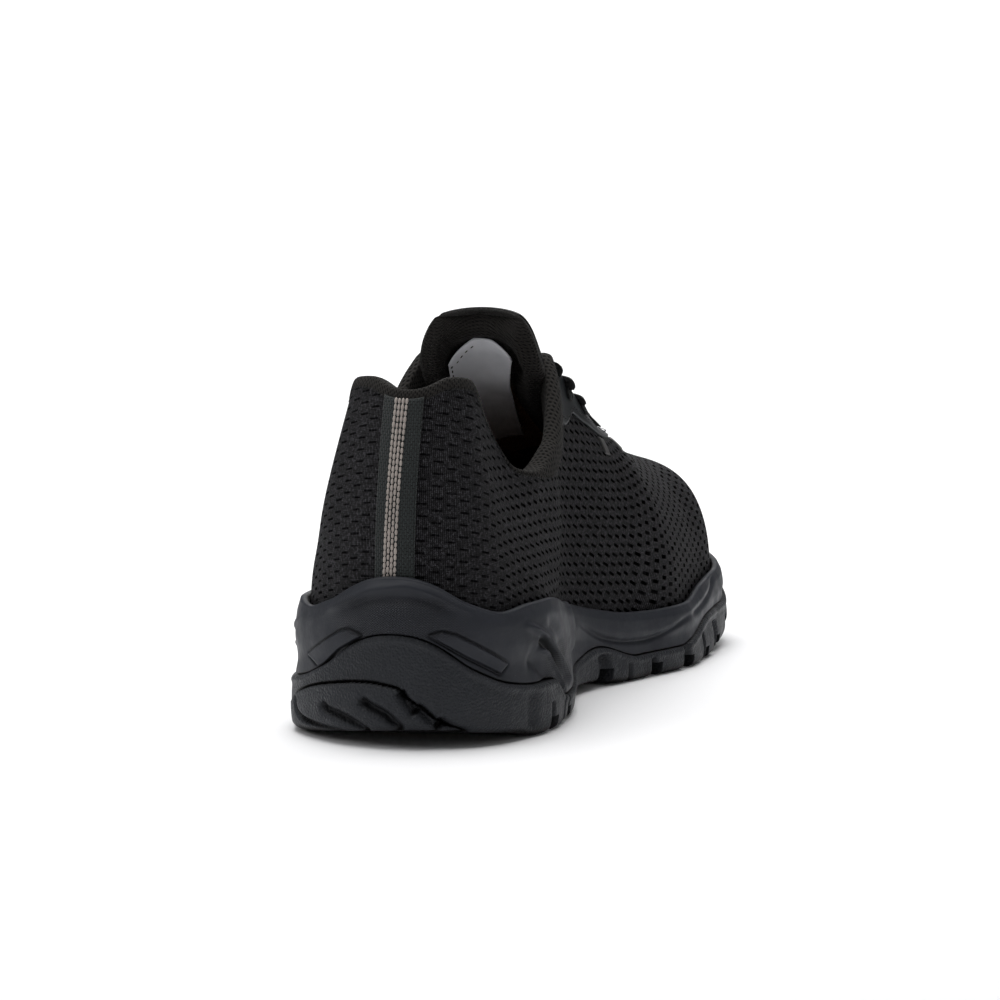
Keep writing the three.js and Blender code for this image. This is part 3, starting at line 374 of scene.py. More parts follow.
# Distances to a drawn line, for creases, ridges and grooves
# Distance to a polyline, its sign (plus on the left), and how far along it runs from 0 to 1.
def lineDistance(x, y, line):
    line = np.asarray(line, float)
    best = np.full(x.shape, 1e9)
    sign = np.ones(x.shape)
    along = np.zeros(x.shape)
    lengths = np.hypot(*np.diff(line, axis=0).T)
    total = lengths.sum()
    done = 0.0
    for (x0, y0), (x1, y1), length in zip(line[:-1], line[1:], lengths):
        dx, dy = x1 - x0, y1 - y0
        k = np.clip(((x - x0) * dx + (y - y0) * dy) / (length * length), 0, 1)
        away = np.hypot(x - x0 - k * dx, y - y0 - k * dy)
        side = np.where(dx * (y - y0) - dy * (x - x0) >= 0, 1.0, -1.0)
        nearer = away < best
        best = np.where(nearer, away, best)
        sign = np.where(nearer, side, sign)
        along = np.where(nearer, (done + k * length) / total, along)
        done += length
    return best, sign, along


# The same line with a smooth curve through its points.
def rounded(line, steps=6):
    line = np.asarray(line, float)
    t = np.arange(len(line))
    fine = np.linspace(0, len(line) - 1, (len(line) - 1) * steps + 1)
    rows = {"at": t.astype(float), "x": line[:, 0], "y": line[:, 1]}
    return np.stack([column(rows, "x", fine), column(rows, "y", fine)], -1)


# A soft ridge of height 1 along a line, fading towards its ends.
def softLine(x, y, line, width, fade=0.12):
    away, _, along = lineDistance(x, y, rounded(line))
    ends = smooth(0, fade, along) * smooth(0, fade, 1 - along) if fade else 1
    return np.exp(-((away / width) ** 2)) * ends


# Materials
# A linear colour from six hex digits.
def linear(code):
    parts = [int(code[i : i + 2], 16) / 255 for i in (0, 2, 4)]
    return [c / 12.92 if c <= 0.04045 else ((c + 0.055) / 1.055) ** 2.4 for c in parts] + [1]


# A node with its options, socket values and incoming links.
def node(tree, kind, sets=None, links=None, **options):
    made = tree.nodes.new(kind)
    for name, value in options.items():
        setattr(made, name, value)
    for name, value in (sets or {}).items():
        made.inputs[name].default_value = value
    for name, source in (links or {}).items():
        tree.links.new(source, made.inputs[name])
    return made


def newMaterial(name, roughness, specular=0.5, sheen=0.0, coat=0.0):
    made = bpy.data.materials.new(name)
    made.use_nodes = True
    tree = made.node_tree
    shader = tree.nodes["Principled BSDF"]
    shader.inputs["Roughness"].default_value = roughness
    shader.inputs["Specular IOR Level"].default_value = specular
    shader.inputs["Sheen Weight"].default_value = sheen
    shader.inputs["Sheen Roughness"].default_value = 0.5
    shader.inputs["Coat Weight"].default_value = coat
    shader.inputs["Coat Roughness"].default_value = 0.3
    return made, tree, shader


# Short spellings for shader arithmetic in one tree.
class Maths:
    def __init__(self, tree):
        self.tree = tree

    def op(self, operation, a, b=None, c=None, clamp=False):
        made = self.tree.nodes.new("ShaderNodeMath")
        made.operation = operation
        made.use_clamp = clamp
        for i, value in enumerate((a, b, c)):
            if value is None:
                continue
            if isinstance(value, (int, float)):
                made.inputs[i].default_value = value
            else:
                self.tree.links.new(value, made.inputs[i])
        return made.outputs[0]

    def add(self, a, b):
        return self.op("ADD", a, b)

    def sub(self, a, b):
        return self.op("SUBTRACT", a, b)

    def mul(self, a, b):
        return self.op("MULTIPLY", a, b)

    def ramp(self, value, low, high, outLow=0.0, outHigh=1.0):
        made = self.tree.nodes.new("ShaderNodeMapRange")
        made.interpolation_type = "SMOOTHSTEP"
        made.inputs["From Min"].default_value = low
        made.inputs["From Max"].default_value = high
        made.inputs["To Min"].default_value = outLow
        made.inputs["To Max"].default_value = outHigh
        self.tree.links.new(value, made.inputs["Value"])
        return made.outputs["Result"]

    def blend(self, factor, a, b):
        made = self.tree.nodes.new("ShaderNodeMix")
        made.data_type = "RGBA"
        sockets = [s for s in made.inputs if s.type == "RGBA"]
        for socket, value in zip(sockets, (a, b)):
            if isinstance(value, (list, tuple)):
                socket.default_value = value
            else:
                self.tree.links.new(value, socket)
        if isinstance(factor, (int, float)):
            made.inputs[0].default_value = factor
        else:
            self.tree.links.new(factor, made.inputs[0])
        return [s for s in made.outputs if s.type == "RGBA"][0]


def noiseOf(tree, vector, scale, detail=2.0, roughness=0.5):
    made = node(tree, "ShaderNodeTexNoise", {"Scale": scale, "Detail": detail, "Roughness": roughness})
    tree.links.new(vector, made.inputs["Vector"])
    return made.outputs["Fac"]


def bumpInto(tree, shader, height, strength, distance):
    made = node(tree, "ShaderNodeBump", {"Strength": strength, "Distance": distance}, {"Height": height})
    tree.links.new(made.outputs["Normal"], shader.inputs["Normal"])
    return made


# The pattern coordinates in millimetres: along and up.
def patternOf(tree):
    uv = node(tree, "ShaderNodeUVMap", uv_map="pattern")
    parts = node(tree, "ShaderNodeSeparateXYZ", links={"Vector": uv.outputs["UV"]})
    return uv.outputs["UV"], parts.outputs["X"], parts.outputs["Y"]


def objectPlace(tree):
    return node(tree, "ShaderNodeTexCoord").outputs["Object"]


# Open mesh: fine upright wales with long slits between them, each second column half a step up; the slits and the
# troughs between threads carry painted shade, and the light tone is a painted highlight on the threads
meshFabric = dict(
    wale=0.66, column=4.9, row=3.95, slitLength=4.0, slitHeight=0.8, thread="1b1a1d", gap="030303", shade="000000",
    light="57565b",
)


def fabricMaterial():
    sizes = meshFabric
    made, tree, shader = newMaterial("ribbed_open_mesh", 0.7, 0.2)
    m = Maths(tree)
    uv, a, b = patternOf(tree)
    place = objectPlace(tree)
    loose = m.mul(m.sub(noiseOf(tree, place, 90, 2), 0.5), 0.7)
    a = m.add(a, loose)
    open_ = node(tree, "ShaderNodeAttribute", attribute_name="open").outputs["Fac"]
    wale = m.op("SINE", m.mul(a, 2 * math.pi / sizes["wale"]))
    course = m.op("SINE", m.mul(b, 2 * math.pi / 0.6))
    columns = m.mul(a, 1 / sizes["column"])
    odd = m.op("FRACT", m.mul(m.op("FLOOR", columns), 0.5))
    da = m.mul(m.op("ABSOLUTE", m.sub(m.op("FRACT", columns), 0.5)), sizes["column"])
    rows = m.add(m.mul(b, 1 / sizes["row"]), odd)
    db = m.mul(m.op("ABSOLUTE", m.sub(m.op("FRACT", rows), 0.5)), sizes["row"])
    uneven = m.sub(noiseOf(tree, place, 230, 1), 0.5)
    length = m.mul(m.add(m.ramp(open_, 1, 2, 1.0, 0.82), m.mul(uneven, 0.7)), sizes["slitLength"] / 2)
    tall = m.mul(m.add(m.ramp(open_, 0, 2, 0.85, 1.9), m.mul(uneven, 0.5)), sizes["slitHeight"] / 2)
    slit = m.mul(m.ramp(m.sub(da, length), -0.8, 0.25, 1, 0), m.ramp(m.sub(db, tall), -0.26, 0.26, 1, 0))
    slit = m.mul(slit, m.ramp(noiseOf(tree, place, 260, 2), 0.35, 0.55, 0.85, 1.0))
    lip = m.mul(m.ramp(m.sub(da, length), -0.1, 0.8, 1, 0), m.ramp(m.sub(db, tall), 0.0, 0.9, 1, 0))
    height = m.add(m.mul(wale, 0.1), m.mul(course, 0.06))
    height = m.add(height, m.mul(lip, 0.22))
    height = m.sub(height, m.mul(slit, 0.9))
    height = m.add(height, m.mul(noiseOf(tree, place, 900, 2), 0.16))
    bumpInto(tree, shader, height, 1.0, 0.001)
    threads = m.add(m.ramp(wale, -1, 1, 0, 0.75), m.ramp(course, -1, 1, 0, 0.25))
    # painted shade: the troughs between the threads are coloured near black and their crests lighter
    colour = m.blend(threads, linear(sizes["gap"]), linear(sizes["thread"]))
    # painted highlights: noise puts lighter flecks on the threads' crests
    colour = m.blend(m.mul(m.ramp(noiseOf(tree, place, 1100, 1), 0.4, 0.8, 0, 0.8), threads), colour, linear(sizes["light"]))
    # painted shade: the slits are coloured black, fully so where the mesh is open
    colour = m.blend(m.mul(slit, m.ramp(open_, 0, 0.8, 0.6, 1.0)), colour, linear(sizes["shade"]))
    tree.links.new(colour, shader.inputs["Base Color"])
    tree.links.new(m.mul(m.ramp(slit, 0, 1, 0.22, 0.0), m.ramp(threads, 0, 1, 0.4, 1)), shader.inputs["Specular IOR Level"])
    return made


# Moulded sole stuff: fine grain, cloudy gloss, specks of dust, edges rounded in the shading, and painted shade that
# darkens the colour towards black in hollows.
def soleMaterial(name, colour, roughness, grainScale, grainDepth, pebble=0.0, edge=0.0):
    made, tree, shader = newMaterial(name, roughness, 0.2)
    m = Maths(tree)
    place = objectPlace(tree)
    height = m.mul(noiseOf(tree, place, grainScale, 3), grainDepth)
    if pebble:
        cells = node(tree, "ShaderNodeTexVoronoi", {"Scale": 1400.0}, {"Vector": place}, feature="SMOOTH_F1")
        height = m.add(height, m.mul(cells.outputs["Distance"], -pebble))
    bump = bumpInto(tree, shader, height, 0.6, 0.0006)
    if edge:
        soft = node(tree, "ShaderNodeBevel", {"Radius": edge * mm}, samples=4)
        tree.links.new(soft.outputs["Normal"], bump.inputs["Normal"])
    cloud = noiseOf(tree, place, 40, 3)
    base = m.blend(m.ramp(cloud, 0.3, 0.7), [c * 0.85 for c in linear(colour)[:3]] + [1], linear(colour))
    dust = m.ramp(noiseOf(tree, place, 1100, 1), 0.75, 0.8, 0, 0.2)
    base = m.blend(dust, base, linear("54565a"))
    # painted shade: ambient occlusion darkens the colour towards black in hollows and grooves
    hollow = node(tree, "ShaderNodeAmbientOcclusion", {"Distance": 5 * mm}, samples=6)
    base = m.blend(m.ramp(hollow.outputs["AO"], 0.35, 0.95), linear("030303"), base)
    tree.links.new(base, shader.inputs["Base Color"])
    rough = m.ramp(noiseOf(tree, place, 160, 3), 0.3, 0.7, roughness - 0.06, roughness + 0.08)
    tree.links.new(rough, shader.inputs["Roughness"])
    return made, tree, shader, m


# Satin moulded foam, with a fine ribbed weave where the ribs attribute says so; the weave is also darkened into the
# colour as painted shade.
def midsoleMaterial():
    made, tree, shader, m = soleMaterial("satin_moulded_foam", "292b31", 0.5, 700, 0.2)
    uv, a, b = patternOf(tree)
    ribs = node(tree, "ShaderNodeAttribute", attribute_name="ribs").outputs["Fac"]
    fine = m.mul(m.op("SINE", m.mul(a, 2 * math.pi / 1.05)), 1.0)
    rows = m.mul(m.op("SINE", m.mul(b, 2 * math.pi / 0.8)), 0.5)
    weave = m.add(m.mul(m.mul(fine, rows), 0.9), m.mul(rows, 0.35))
    old = shader.inputs["Normal"].links[0].from_node
    height = m.add(old.inputs["Height"].links[0].from_socket, m.mul(m.mul(weave, ribs), 0.5))
    tree.links.new(height, old.inputs["Height"])
    base = shader.inputs["Base Color"].links[0].from_socket
    # painted shade: the weave's pattern is darkened into the colour where the ribs attribute says so
    shade = m.mul(m.ramp(m.mul(fine, rows), -0.3, 0.3, 0, 0.75), ribs)
    tree.links.new(m.blend(shade, base, linear("08090b")), shader.inputs["Base Color"])
    return made


# Padded spacer mesh: small cells over a soft pad, the sunken cells coloured near black as painted shade.
def liningMaterial(name="padded_spacer_mesh", paintedCellShade="010101", light="282624"):
    made, tree, shader = newMaterial(name, 0.95, 0.15, 0.03)
    m = Maths(tree)
    uv, a, b = patternOf(tree)
    place = objectPlace(tree)
    step = 1.25
    odd = m.op("FRACT", m.mul(m.op("FLOOR", m.mul(a, 1 / step)), 0.5))
    da = m.op("ABSOLUTE", m.sub(m.op("FRACT", m.mul(a, 1 / step)), 0.5))
    db = m.op("ABSOLUTE", m.sub(m.op("FRACT", m.add(m.mul(b, 0.7 / step), odd)), 0.5))
    cell = m.mul(m.ramp(da, 0.1, 0.42, 1, 0), m.ramp(db, 0.12, 0.42, 1, 0))
    height = m.sub(m.mul(noiseOf(tree, place, 1200, 2), 0.25), m.mul(cell, 0.35))
    bumpInto(tree, shader, height, 1.0, 0.0012)
    # painted shade: the sunken cells are coloured near black
    colour = m.blend(m.mul(cell, 0.95), linear(light), linear(paintedCellShade))
    colour = m.blend(m.ramp(noiseOf(tree, place, 1400, 1), 0.5, 0.8, 0, 0.4), colour, linear("302f2d"))
    worn = node(tree, "ShaderNodeAttribute", attribute_name="worn").outputs["Fac"]
    colour = m.blend(worn, colour, linear("a08068"))
    tree.links.new(colour, shader.inputs["Base Color"])
    return made


def plainMaterial(name, colour, roughness, scale=600, depth=0.2, specular=0.4, sheen=0.0, coat=0.0):
    made, tree, shader = newMaterial(name, roughness, specular, sheen, coat)
    m = Maths(tree)
    place = objectPlace(tree)
    bumpInto(tree, shader, m.mul(noiseOf(tree, place, scale, 3), depth), 0.4, 0.0005)
    low = [c * 0.8 for c in linear(colour)[:3]] + [1]
    tree.links.new(m.blend(m.ramp(noiseOf(tree, place, 60, 3), 0.3, 0.7), low, linear(colour)), shader.inputs["Base Color"])
    return made


# Woven webbing: short upright floats in staggered columns.
def webbingMaterial():
    made, tree, shader = newMaterial("woven_webbing", 0.8, 0.3, 0.1)
    m = Maths(tree)
    uv, a, b = patternOf(tree)
    step = 0.72
    columns = m.mul(a, 1 / step)
    odd = m.op("FRACT", m.mul(m.op("FLOOR", columns), 0.5))
    da = m.op("ABSOLUTE", m.sub(m.op("FRACT", columns), 0.5))
    db = m.op("ABSOLUTE", m.sub(m.op("FRACT", m.add(m.mul(b, 1 / 2.0), odd)), 0.5))
    float_ = m.mul(m.ramp(da, 0.25, 0.5, 1, 0), m.ramp(db, 0.3, 0.5, 1, 0))
    height = m.add(m.mul(float_, 0.4), m.mul(noiseOf(tree, objectPlace(tree), 1200, 1), 0.1))
    bumpInto(tree, shader, height, 0.8, 0.001)
    colour = m.blend(float_, linear("060808"), linear("232929"))
    tree.links.new(colour, shader.inputs["Base Color"])
    return made


finishes = {
    "fabric": fabricMaterial(),
    "midsole": midsoleMaterial(),
    "rubber": soleMaterial("grained_rubber", "282a2e", 0.5, 500, 0.4, 1.1, 0.6)[0],
    "lining": liningMaterial(),
    "film": plainMaterial("satin_film", "171a1d", 0.5, 300, 0.1, 0.3),
    "tab": plainMaterial("soft_coated_binding", "0c0c0d", 0.6, 500, 0.3, 0.25),
    "webbing": webbingMaterial(),
    "grain": plainMaterial("reflective_yarn", "a39a94", 0.55, 900, 0.2),
    "mark": plainMaterial("reflective_film", "3c3b3b", 0.5, 900, 0.2),
    "label": plainMaterial("bare_woven_label", "eff0f5", 0.7, 900, 0.4),
    "insole": plainMaterial("brushed_footbed", "4a382b", 0.95, 700, 0.5, 0.2, 0.3),
    "lace": plainMaterial("braided_lace", "0b0b0c", 0.85, 900, 0.5, 0.3, 0.1),
    "thread": plainMaterial("sewing_thread", "131313", 0.7, 900, 0.2),
    "inside": plainMaterial("dark_inner_wall", "2a211b", 0.95, 700, 0.4, 0.2),
}
print("materials made")

# Upper
upperPiece = dict(stations=430, ribs=190, innerRibs=16)
# Soft creases of the upper in (distance round at mid height, share up its rib): height in millimetres, width
upperCreases = [
    dict(line=[(196, 0.06), (193, 0.2), (196, 0.35), (203, 0.5), (222, 0.66)], high=0.25, width=2.6),
    dict(line=[(203, 0.08), (201, 0.2), (204, 0.35), (211, 0.5), (228, 0.64)], high=-0.15, width=3.5),
    dict(line=[(24, 0.4), (52, 0.5), (84, 0.72), (104, 0.9)], high=-0.5, width=9),
    dict(line=[(60, 0.15), (92, 0.35), (120, 0.62)], high=0.5, width=10),
    dict(line=[(-30, 0.3), (-62, 0.5), (-96, 0.8)], high=-0.5, width=9),
    dict(line=[(-196, 0.06), (-193, 0.2), (-196, 0.35), (-203, 0.5), (-222, 0.66)], high=0.25, width=2.6),
]


# Turns round the upper with the throat's corners among them, each side its own.
def upperTurns(count):
    even = np.linspace(0, 0.5, count // 2 + 1)
    corners = np.array([turnAt(np.array(a), 1) for a in (shoe["throatStart"], shoe["throatEnd"])])
    step = even[1]
    inner = np.sort(np.concatenate([[t for t in even if np.abs(corners - t).min() > 0.4 * step], corners]))
    return np.concatenate([inner, 1 - inner[1:-1][::-1]])


# Pattern coordinates of the mesh: its slits run level at the heel and fall forward along the quarters.
def fabricPattern(turn, rib):
    fine = np.linspace(0, 0.5, 401)
    out = {}
    for side in (1, -1):
        t = fine if side > 0 else 1 - fine
        line = upperSkin(t, np.full_like(t, 0.45))
        out[side] = np.concatenate([[0], np.cumsum(np.linalg.norm(np.diff(line, axis=0), axis=-1))])
    whole = turn - np.floor(turn)
    side = np.where(whole <= 0.5, 1, -1)
    own = np.where(side > 0, whole, 1 - whole)
    a = np.where(side > 0, np.interp(own, fine, out[1]), np.interp(own, fine, out[-1]))
    fall = np.interp(np.linspace(0, 400, 801), [0, 30, 55, 150, 188, 205, 300, 400], [0, 0.2, 0.38, 0.42, 0.42, 0.17, 0.1, 0])
    drop = np.concatenate([[0], np.cumsum(fall[:-1] * 0.5)])
    tangent = np.interp(a, np.linspace(0, 400, 801), fall)
    ribs = rib[0] if rib.ndim > 1 else rib
    skin = upperSkin(turn, rib)
    up = np.concatenate([np.zeros_like(skin[:, :1, 0]), np.cumsum(np.linalg.norm(np.diff(skin, axis=1), axis=-1), 1)], 1)
    return side * (a - (up - 40) * tangent), up + np.interp(a, np.linspace(0, 400, 801), drop), a * side, up


def makeUpper():
    sizes = upperPiece
    turns = upperTurns(sizes["stations"])
    ribs = np.concatenate([np.linspace(0, 0.97, sizes["ribs"] - 10), 1 - 0.03 * (1 - np.linspace(0, 1, 11)[1:]) ** 1.5])
    turn, rib = np.meshgrid(turns, ribs, indexing="ij")
    patternA, patternB, around, up = fabricPattern(turn, rib)
    off = np.zeros_like(turn)
    for crease in upperCreases:
        off += crease["high"] * softLine(around, rib * 100, [(a, r * 100) for a, r in crease["line"]], crease["width"])
    rng = np.random.default_rng(7)
    for _ in range(14):
        ka, kb, phase = rng.uniform(0.02, 0.07), rng.uniform(0.02, 0.08), rng.uniform(0, 6.28)
        off += 0.05 * np.sin(ka * around + kb * up + phase)
    hold = smooth(0, 0.05, rib) * smooth(0, 0.04, 1 - rib)
    open_ = smooth(shoe["throatEnd"], shoe["throatEnd"] - 0.02, placeOf(turn)[0])
    fromEdge = up[:, -1:] - up
    fold = np.clip(1 - fromEdge / 1.6, 0, 1)
    off = off * hold - 1.0 * (1 - np.sqrt(np.maximum(1 - fold**2, 0))) * open_
    outer = upperOut(turn, rib, off)
    innerRibs = np.linspace(0, 1, sizes["innerRibs"])
    innerTurn, innerRib = np.meshgrid(turns, innerRibs, indexing="ij")
    inner = upperOut(innerTurn, innerRib, np.full_like(innerTurn, -shoe["wall"]))
    rows, cols, low = len(turns), len(ribs), len(innerRibs)
    points = np.concatenate([outer.reshape(-1, 3), inner.reshape(-1, 3)])
    faces = [gridFaces(rows, cols, closeRows=True)]
    faces.append(gridFaces(rows, low, closeRows=True, start=rows * cols)[:, ::-1])
    at = placeOf(turns)[0]
    i = np.arange(rows)
    n = (i + 1) % rows
    start = rows * cols
    for outerCol, innerCol, keep, flip in (
        (cols - 1, low - 1, np.minimum(at[i], at[n]) < shoe["throatEnd"] - 1e-6, False),
        (0, 0, np.ones(rows, bool), True),
    ):
        strip = np.stack([i * cols + outerCol, n * cols + outerCol, start + n * low + innerCol, start + i * low + innerCol], -1)
        strip = strip[keep]
        faces.append(strip[:, ::-1] if flip else strip)
    uvOuter = np.stack([patternA, patternB], -1).reshape(-1, 2)
    uvInner = np.zeros((rows * low, 2))
    made = meshFrom("upper_fabric", points, np.concatenate(faces), np.concatenate([uvOuter, uvInner]))
    # how open the slits are: tight behind the heel, open on the quarters, widest on the forefoot
    fore = smooth(165, 225, np.abs(around))
    quarter = smooth(15, 60, np.abs(around)) * (1 - 0.55 * smooth(0.8, 1, rib))
    openness = np.clip(quarter + fore, 0, 2)
    pointValues(made, "open", np.concatenate([openness.ravel(), np.zeros(rows * low)]))
    return made


upperObject = finishPiece(makeUpper(), finishes["fabric"], ["upper"])
print("upper made")

# Midsole: relief lines in (distance round from the heel, height)
midsolePiece = dict(stations=1000, wallSteps=84)
# line: along and up in millimetres, high: how far it stands out, width: half width, other: how much of it also stands
# on the outer side
midsoleLines = [
    dict(line=[(-30, 41.5), (-20, 45.8), (-13.7, 48.6), (-8.5, 51.2), (-3, 52), (3.6, 52.6), (8.9, 51.6), (14, 49.8), (20, 46.5), (30, 41.8)], high=0.9, width=1.5),
    dict(line=[(-20, 43.3), (-12, 46.2), (-4.6, 48.2), (0.6, 48.8), (5.7, 48.8), (10.5, 47.8), (14.7, 46.2), (21, 43)], high=-1.0, width=1.6),
    dict(line=[(48, 37), (52.4, 36.4), (59, 34), (66.3, 30), (73, 25.3), (83.2, 19.1), (94.6, 9.6)], high=2.0, width=1.1, other=0.3),
    dict(line=[(57, 31.6), (62, 30.2), (67, 27.6), (72.5, 22.5), (80, 16), (88, 10)], high=-2.7, width=1.9, other=0.3),
    dict(line=[(57, 28), (60, 27.9), (65.4, 26.4), (70, 22.5), (76.4, 15.7), (80, 10)], high=1.8, width=0.9, other=0.3),
    dict(line=[(64, 37.5), (72, 32.8), (80, 27), (90, 19.5), (98, 12)], high=-1.5, width=2.6, other=0.3),
    dict(line=[(50, 27), (57, 24), (63, 19.5), (68, 13.5), (71, 10)], high=-1.5, width=3, other=0.3),
    dict(line=[(98, 40), (102, 30), (104, 20)], high=1.0, width=2.5, other=0.5),
    dict(line=[(142.9, 26.5), (155.1, 21.2), (166.3, 17.2), (180.5, 14.6), (191.6, 13.9), (200.4, 14.5), (209.2, 16.2), (219.4, 18.5), (230, 20)], high=-0.8, width=1.0, other=1),
    dict(line=[(225, 19), (245, 21), (262, 24.5), (275, 29)], high=-0.7, width=1.2, other=1),
]
barShapes = [
    [(12, 36.9), (15.7, 37.8), (19.8, 36.6), (39.9, 25.7), (36.6, 23.2), (24, 29.6)],
    [(-39.4, 26.9), (-19.2, 36.9), (-15.9, 37.6), (-11.6, 36), (-20.8, 31.2), (-30.9, 23.8)],
]


# Signed distance to a closed shape, plus inside.
def insideShape(x, y, shape):
    shape = np.asarray(shape, float)
    closed = np.vstack([shape, shape[:1]])
    away, _, _ = lineDistance(x, y, closed)
    crossings = np.zeros(x.shape, int)
    for (x0, y0), (x1, y1) in zip(closed[:-1], closed[1:]):
        spans = (y0 > y) != (y1 > y)
        with np.errstate(divide="ignore", invalid="ignore"):
            crossings += spans & (x < (x1 - x0) * (y - y0) / (y1 - y0) + x0)
    return np.where(crossings % 2 == 1, away, -away)


def midsoleRelief(distance, z):
    off = np.zeros_like(z)
    for row in midsoleLines:
        off += row["high"] * softLine(distance, z, row["line"], row["width"], 0.16)
        if row.get("other"):
            off += row["other"] * row["high"] * softLine(-distance, z, row["line"], row["width"], 0.16)
    for shape in barShapes:
        deep = insideShape(distance, z, shape)
        off += 0.8 * smooth(-0.3, 0.2, deep) - 0.55 * np.exp(-(((deep + 0.55) / 0.4) ** 2))
    bulge = np.exp(-((distance / 22) ** 2)) * np.exp(-(((z - 42.5) / 5.5) ** 2))
    hip = np.exp(-(((distance - 30) / 9) ** 2)) * np.exp(-(((z - 38) / 5) ** 2))
    return off + 1.3 * bulge + 0.5 * hip


def makeMidsole():
    sizes = midsolePiece
    turns = soleTurns(sizes["stations"])
    under = 8.9
    line = np.maximum(rubberAt(turns), floorAt(turns) + under) + shoe["gap"]
    low = shareAtHeight(turns, line)
    steps = np.linspace(0, 1, sizes["wallSteps"])
    turn, k = np.meshgrid(turns, steps, indexing="ij")
    share = mix(low[:, None], 1, k)
    wall = soleSkin(turn, share)
    signed = np.where(turn > 0.5, turn - 1, turn)
    distance = aroundAt(signed)
    z = wall[..., 2]
    relief = midsoleRelief(distance, z) * smooth(0, 0.05, 1 - k) - 0.5 * (1 - smooth(0, 0.022, k))
    wall = wall + relief[..., None] * awayAt(turn)
    tucked = soleSkin(turn[:, :1], share[:, :1]) - (3.3 * awayAt(turn[:, :1]))
    deep = tucked.copy()
    deep[..., 2] -= 3
    edge = edgeAt(turns)
    inner = []
    for lift, off in ((0.35, 2.6), (0.5, 1.9), (0.3, 1.1), (-0.2, 0.6), (-2, 0.45), (-8, 0.45)):
        level = edge + lift
        ring = upperOut(turns, ribAtHeight(turns, level), np.full_like(turns, off))
        ring[..., 2] = level
        inner.append(ring[:, None, :])
    grid = np.concatenate([deep, tucked, wall] + inner, axis=1)
    cols = grid.shape[1]
    distances = np.concatenate([distance[:, :1]] * 2 + [distance] + [distance[:, -1:]] * len(inner), 1)
    uv = np.stack([distances, grid[..., 2]], -1)
    made = meshFrom("midsole_foam", grid.reshape(-1, 3), gridFaces(len(turns), cols, closeRows=True), uv.reshape(-1, 2))
    ribs = np.exp(-((distances / 21) ** 4)) * smooth(34, 37, grid[..., 2]) * smooth(50.5, 47, grid[..., 2])
    flange = smooth(62, 68, distances) * smooth(100, 90, distances) * smooth(11, 15, grid[..., 2]) * smooth(30, 24, grid[..., 2])
    pointValues(made, "ribs", np.clip(ribs + 0.6 * flange, 0, 1))
    return made


midsoleObject = finishPiece(makeMidsole(), finishes["midsole"], ["midsole"])
print("midsole made")

# Outsole: the wall's blocks and sipes in (distance round, height), and the tread's grooves in plan
outsolePiece = dict(stations=1000, wallSteps=76, rungs=20, base=3.6, lug=5.0)
blockTop = [(-52, 10), (-46, 13.5), (-36.9, 16.6), (-27.8, 18.8), (-20.1, 20.1), (-14.1, 20.9), (-7.9, 21.2), (-2.6, 20.6), (2.3, 19.4), (3.3, 17.4), (8, 14.4), (13.2, 10.2), (17.7, 7.8), (22.9, 6.1), (30, 2)]
sipeLines = [
    dict(line=[(-27.6, 13.8), (-26, 11.8), (-24.9, 11.1), (-17.9, 9.6), (-12.1, 7.4), (-8, 5)], deep=2.8, width=1.35),
    dict(line=[(-11.1, 16.1), (-7.2, 13.8), (-2.6, 11.7), (0.6, 9), (3.6, 6.4)], deep=3.0, width=1.45),
    dict(line=[(2.1, 19.4), (3.9, 16.4), (5.8, 13.8), (7.4, 11.5)], deep=2.9, width=1.30),
    dict(line=[(7.1, 14.4), (10.3, 11.6), (12.7, 9.2), (15.5, 7)], deep=3.2, width=1.6),
    dict(line=[(13.8, 9.9), (16.3, 8.5), (19, 7), (24, 4.5)], deep=3.2, width=1.6),
    dict(line=[(-46.2, 13.5), (-45.6, 10), (-43.9, 7.6), (-40.5, 6.2), (-36.5, 5.6), (-26, 4.9), (-18, 4.2)], deep=2.2, width=0.9),
]
edgeGrooves = table(
    "at reach slant width",
    (0.165, 0.22, 14, 4.6), (0.235, 0.22, 14, 4.6), (0.475, 0.2, -8, 4.6), (0.572, 0.22, -10, 6.5),
    (0.648, 0.22, -12, 5), (0.725, 0.22, -14, 5), (0.8, 0.21, -20, 5), (0.875, 0.18, -38, 4.6), (0.94, 0.14, -55, 4.6),
)
chevrons = table(
    "at arm", (0.16, 0.2), (0.235, 0.2), (0.525, 0.22), (0.605, 0.24), (0.685, 0.24), (0.765, 0.23), (0.84, 0.2),
)

# Gaps between the lugs where they come up the wall, in millimetres round the outline and over the floor
wallGaps = [
    dict(at=67, half=1.2, top=11, deep=1.1), dict(at=81, half=1.2, top=11, deep=1.1),
    dict(at=88, half=1.2, top=11, deep=1.1), dict(at=162, half=3.2, top=12.5, deep=2.6),
    dict(at=178, half=0.9, top=8, deep=1.3), dict(at=194.5, half=1.3, top=8, deep=2.0),
    dict(at=217, half=2.2, top=10, deep=2.4), dict(at=238, half=1.6, top=11.5, deep=2.2),
    dict(at=259, half=3.2, top=13.5, deep=2.6), dict(at=283, half=1.6, top=13, deep=1.6),
]


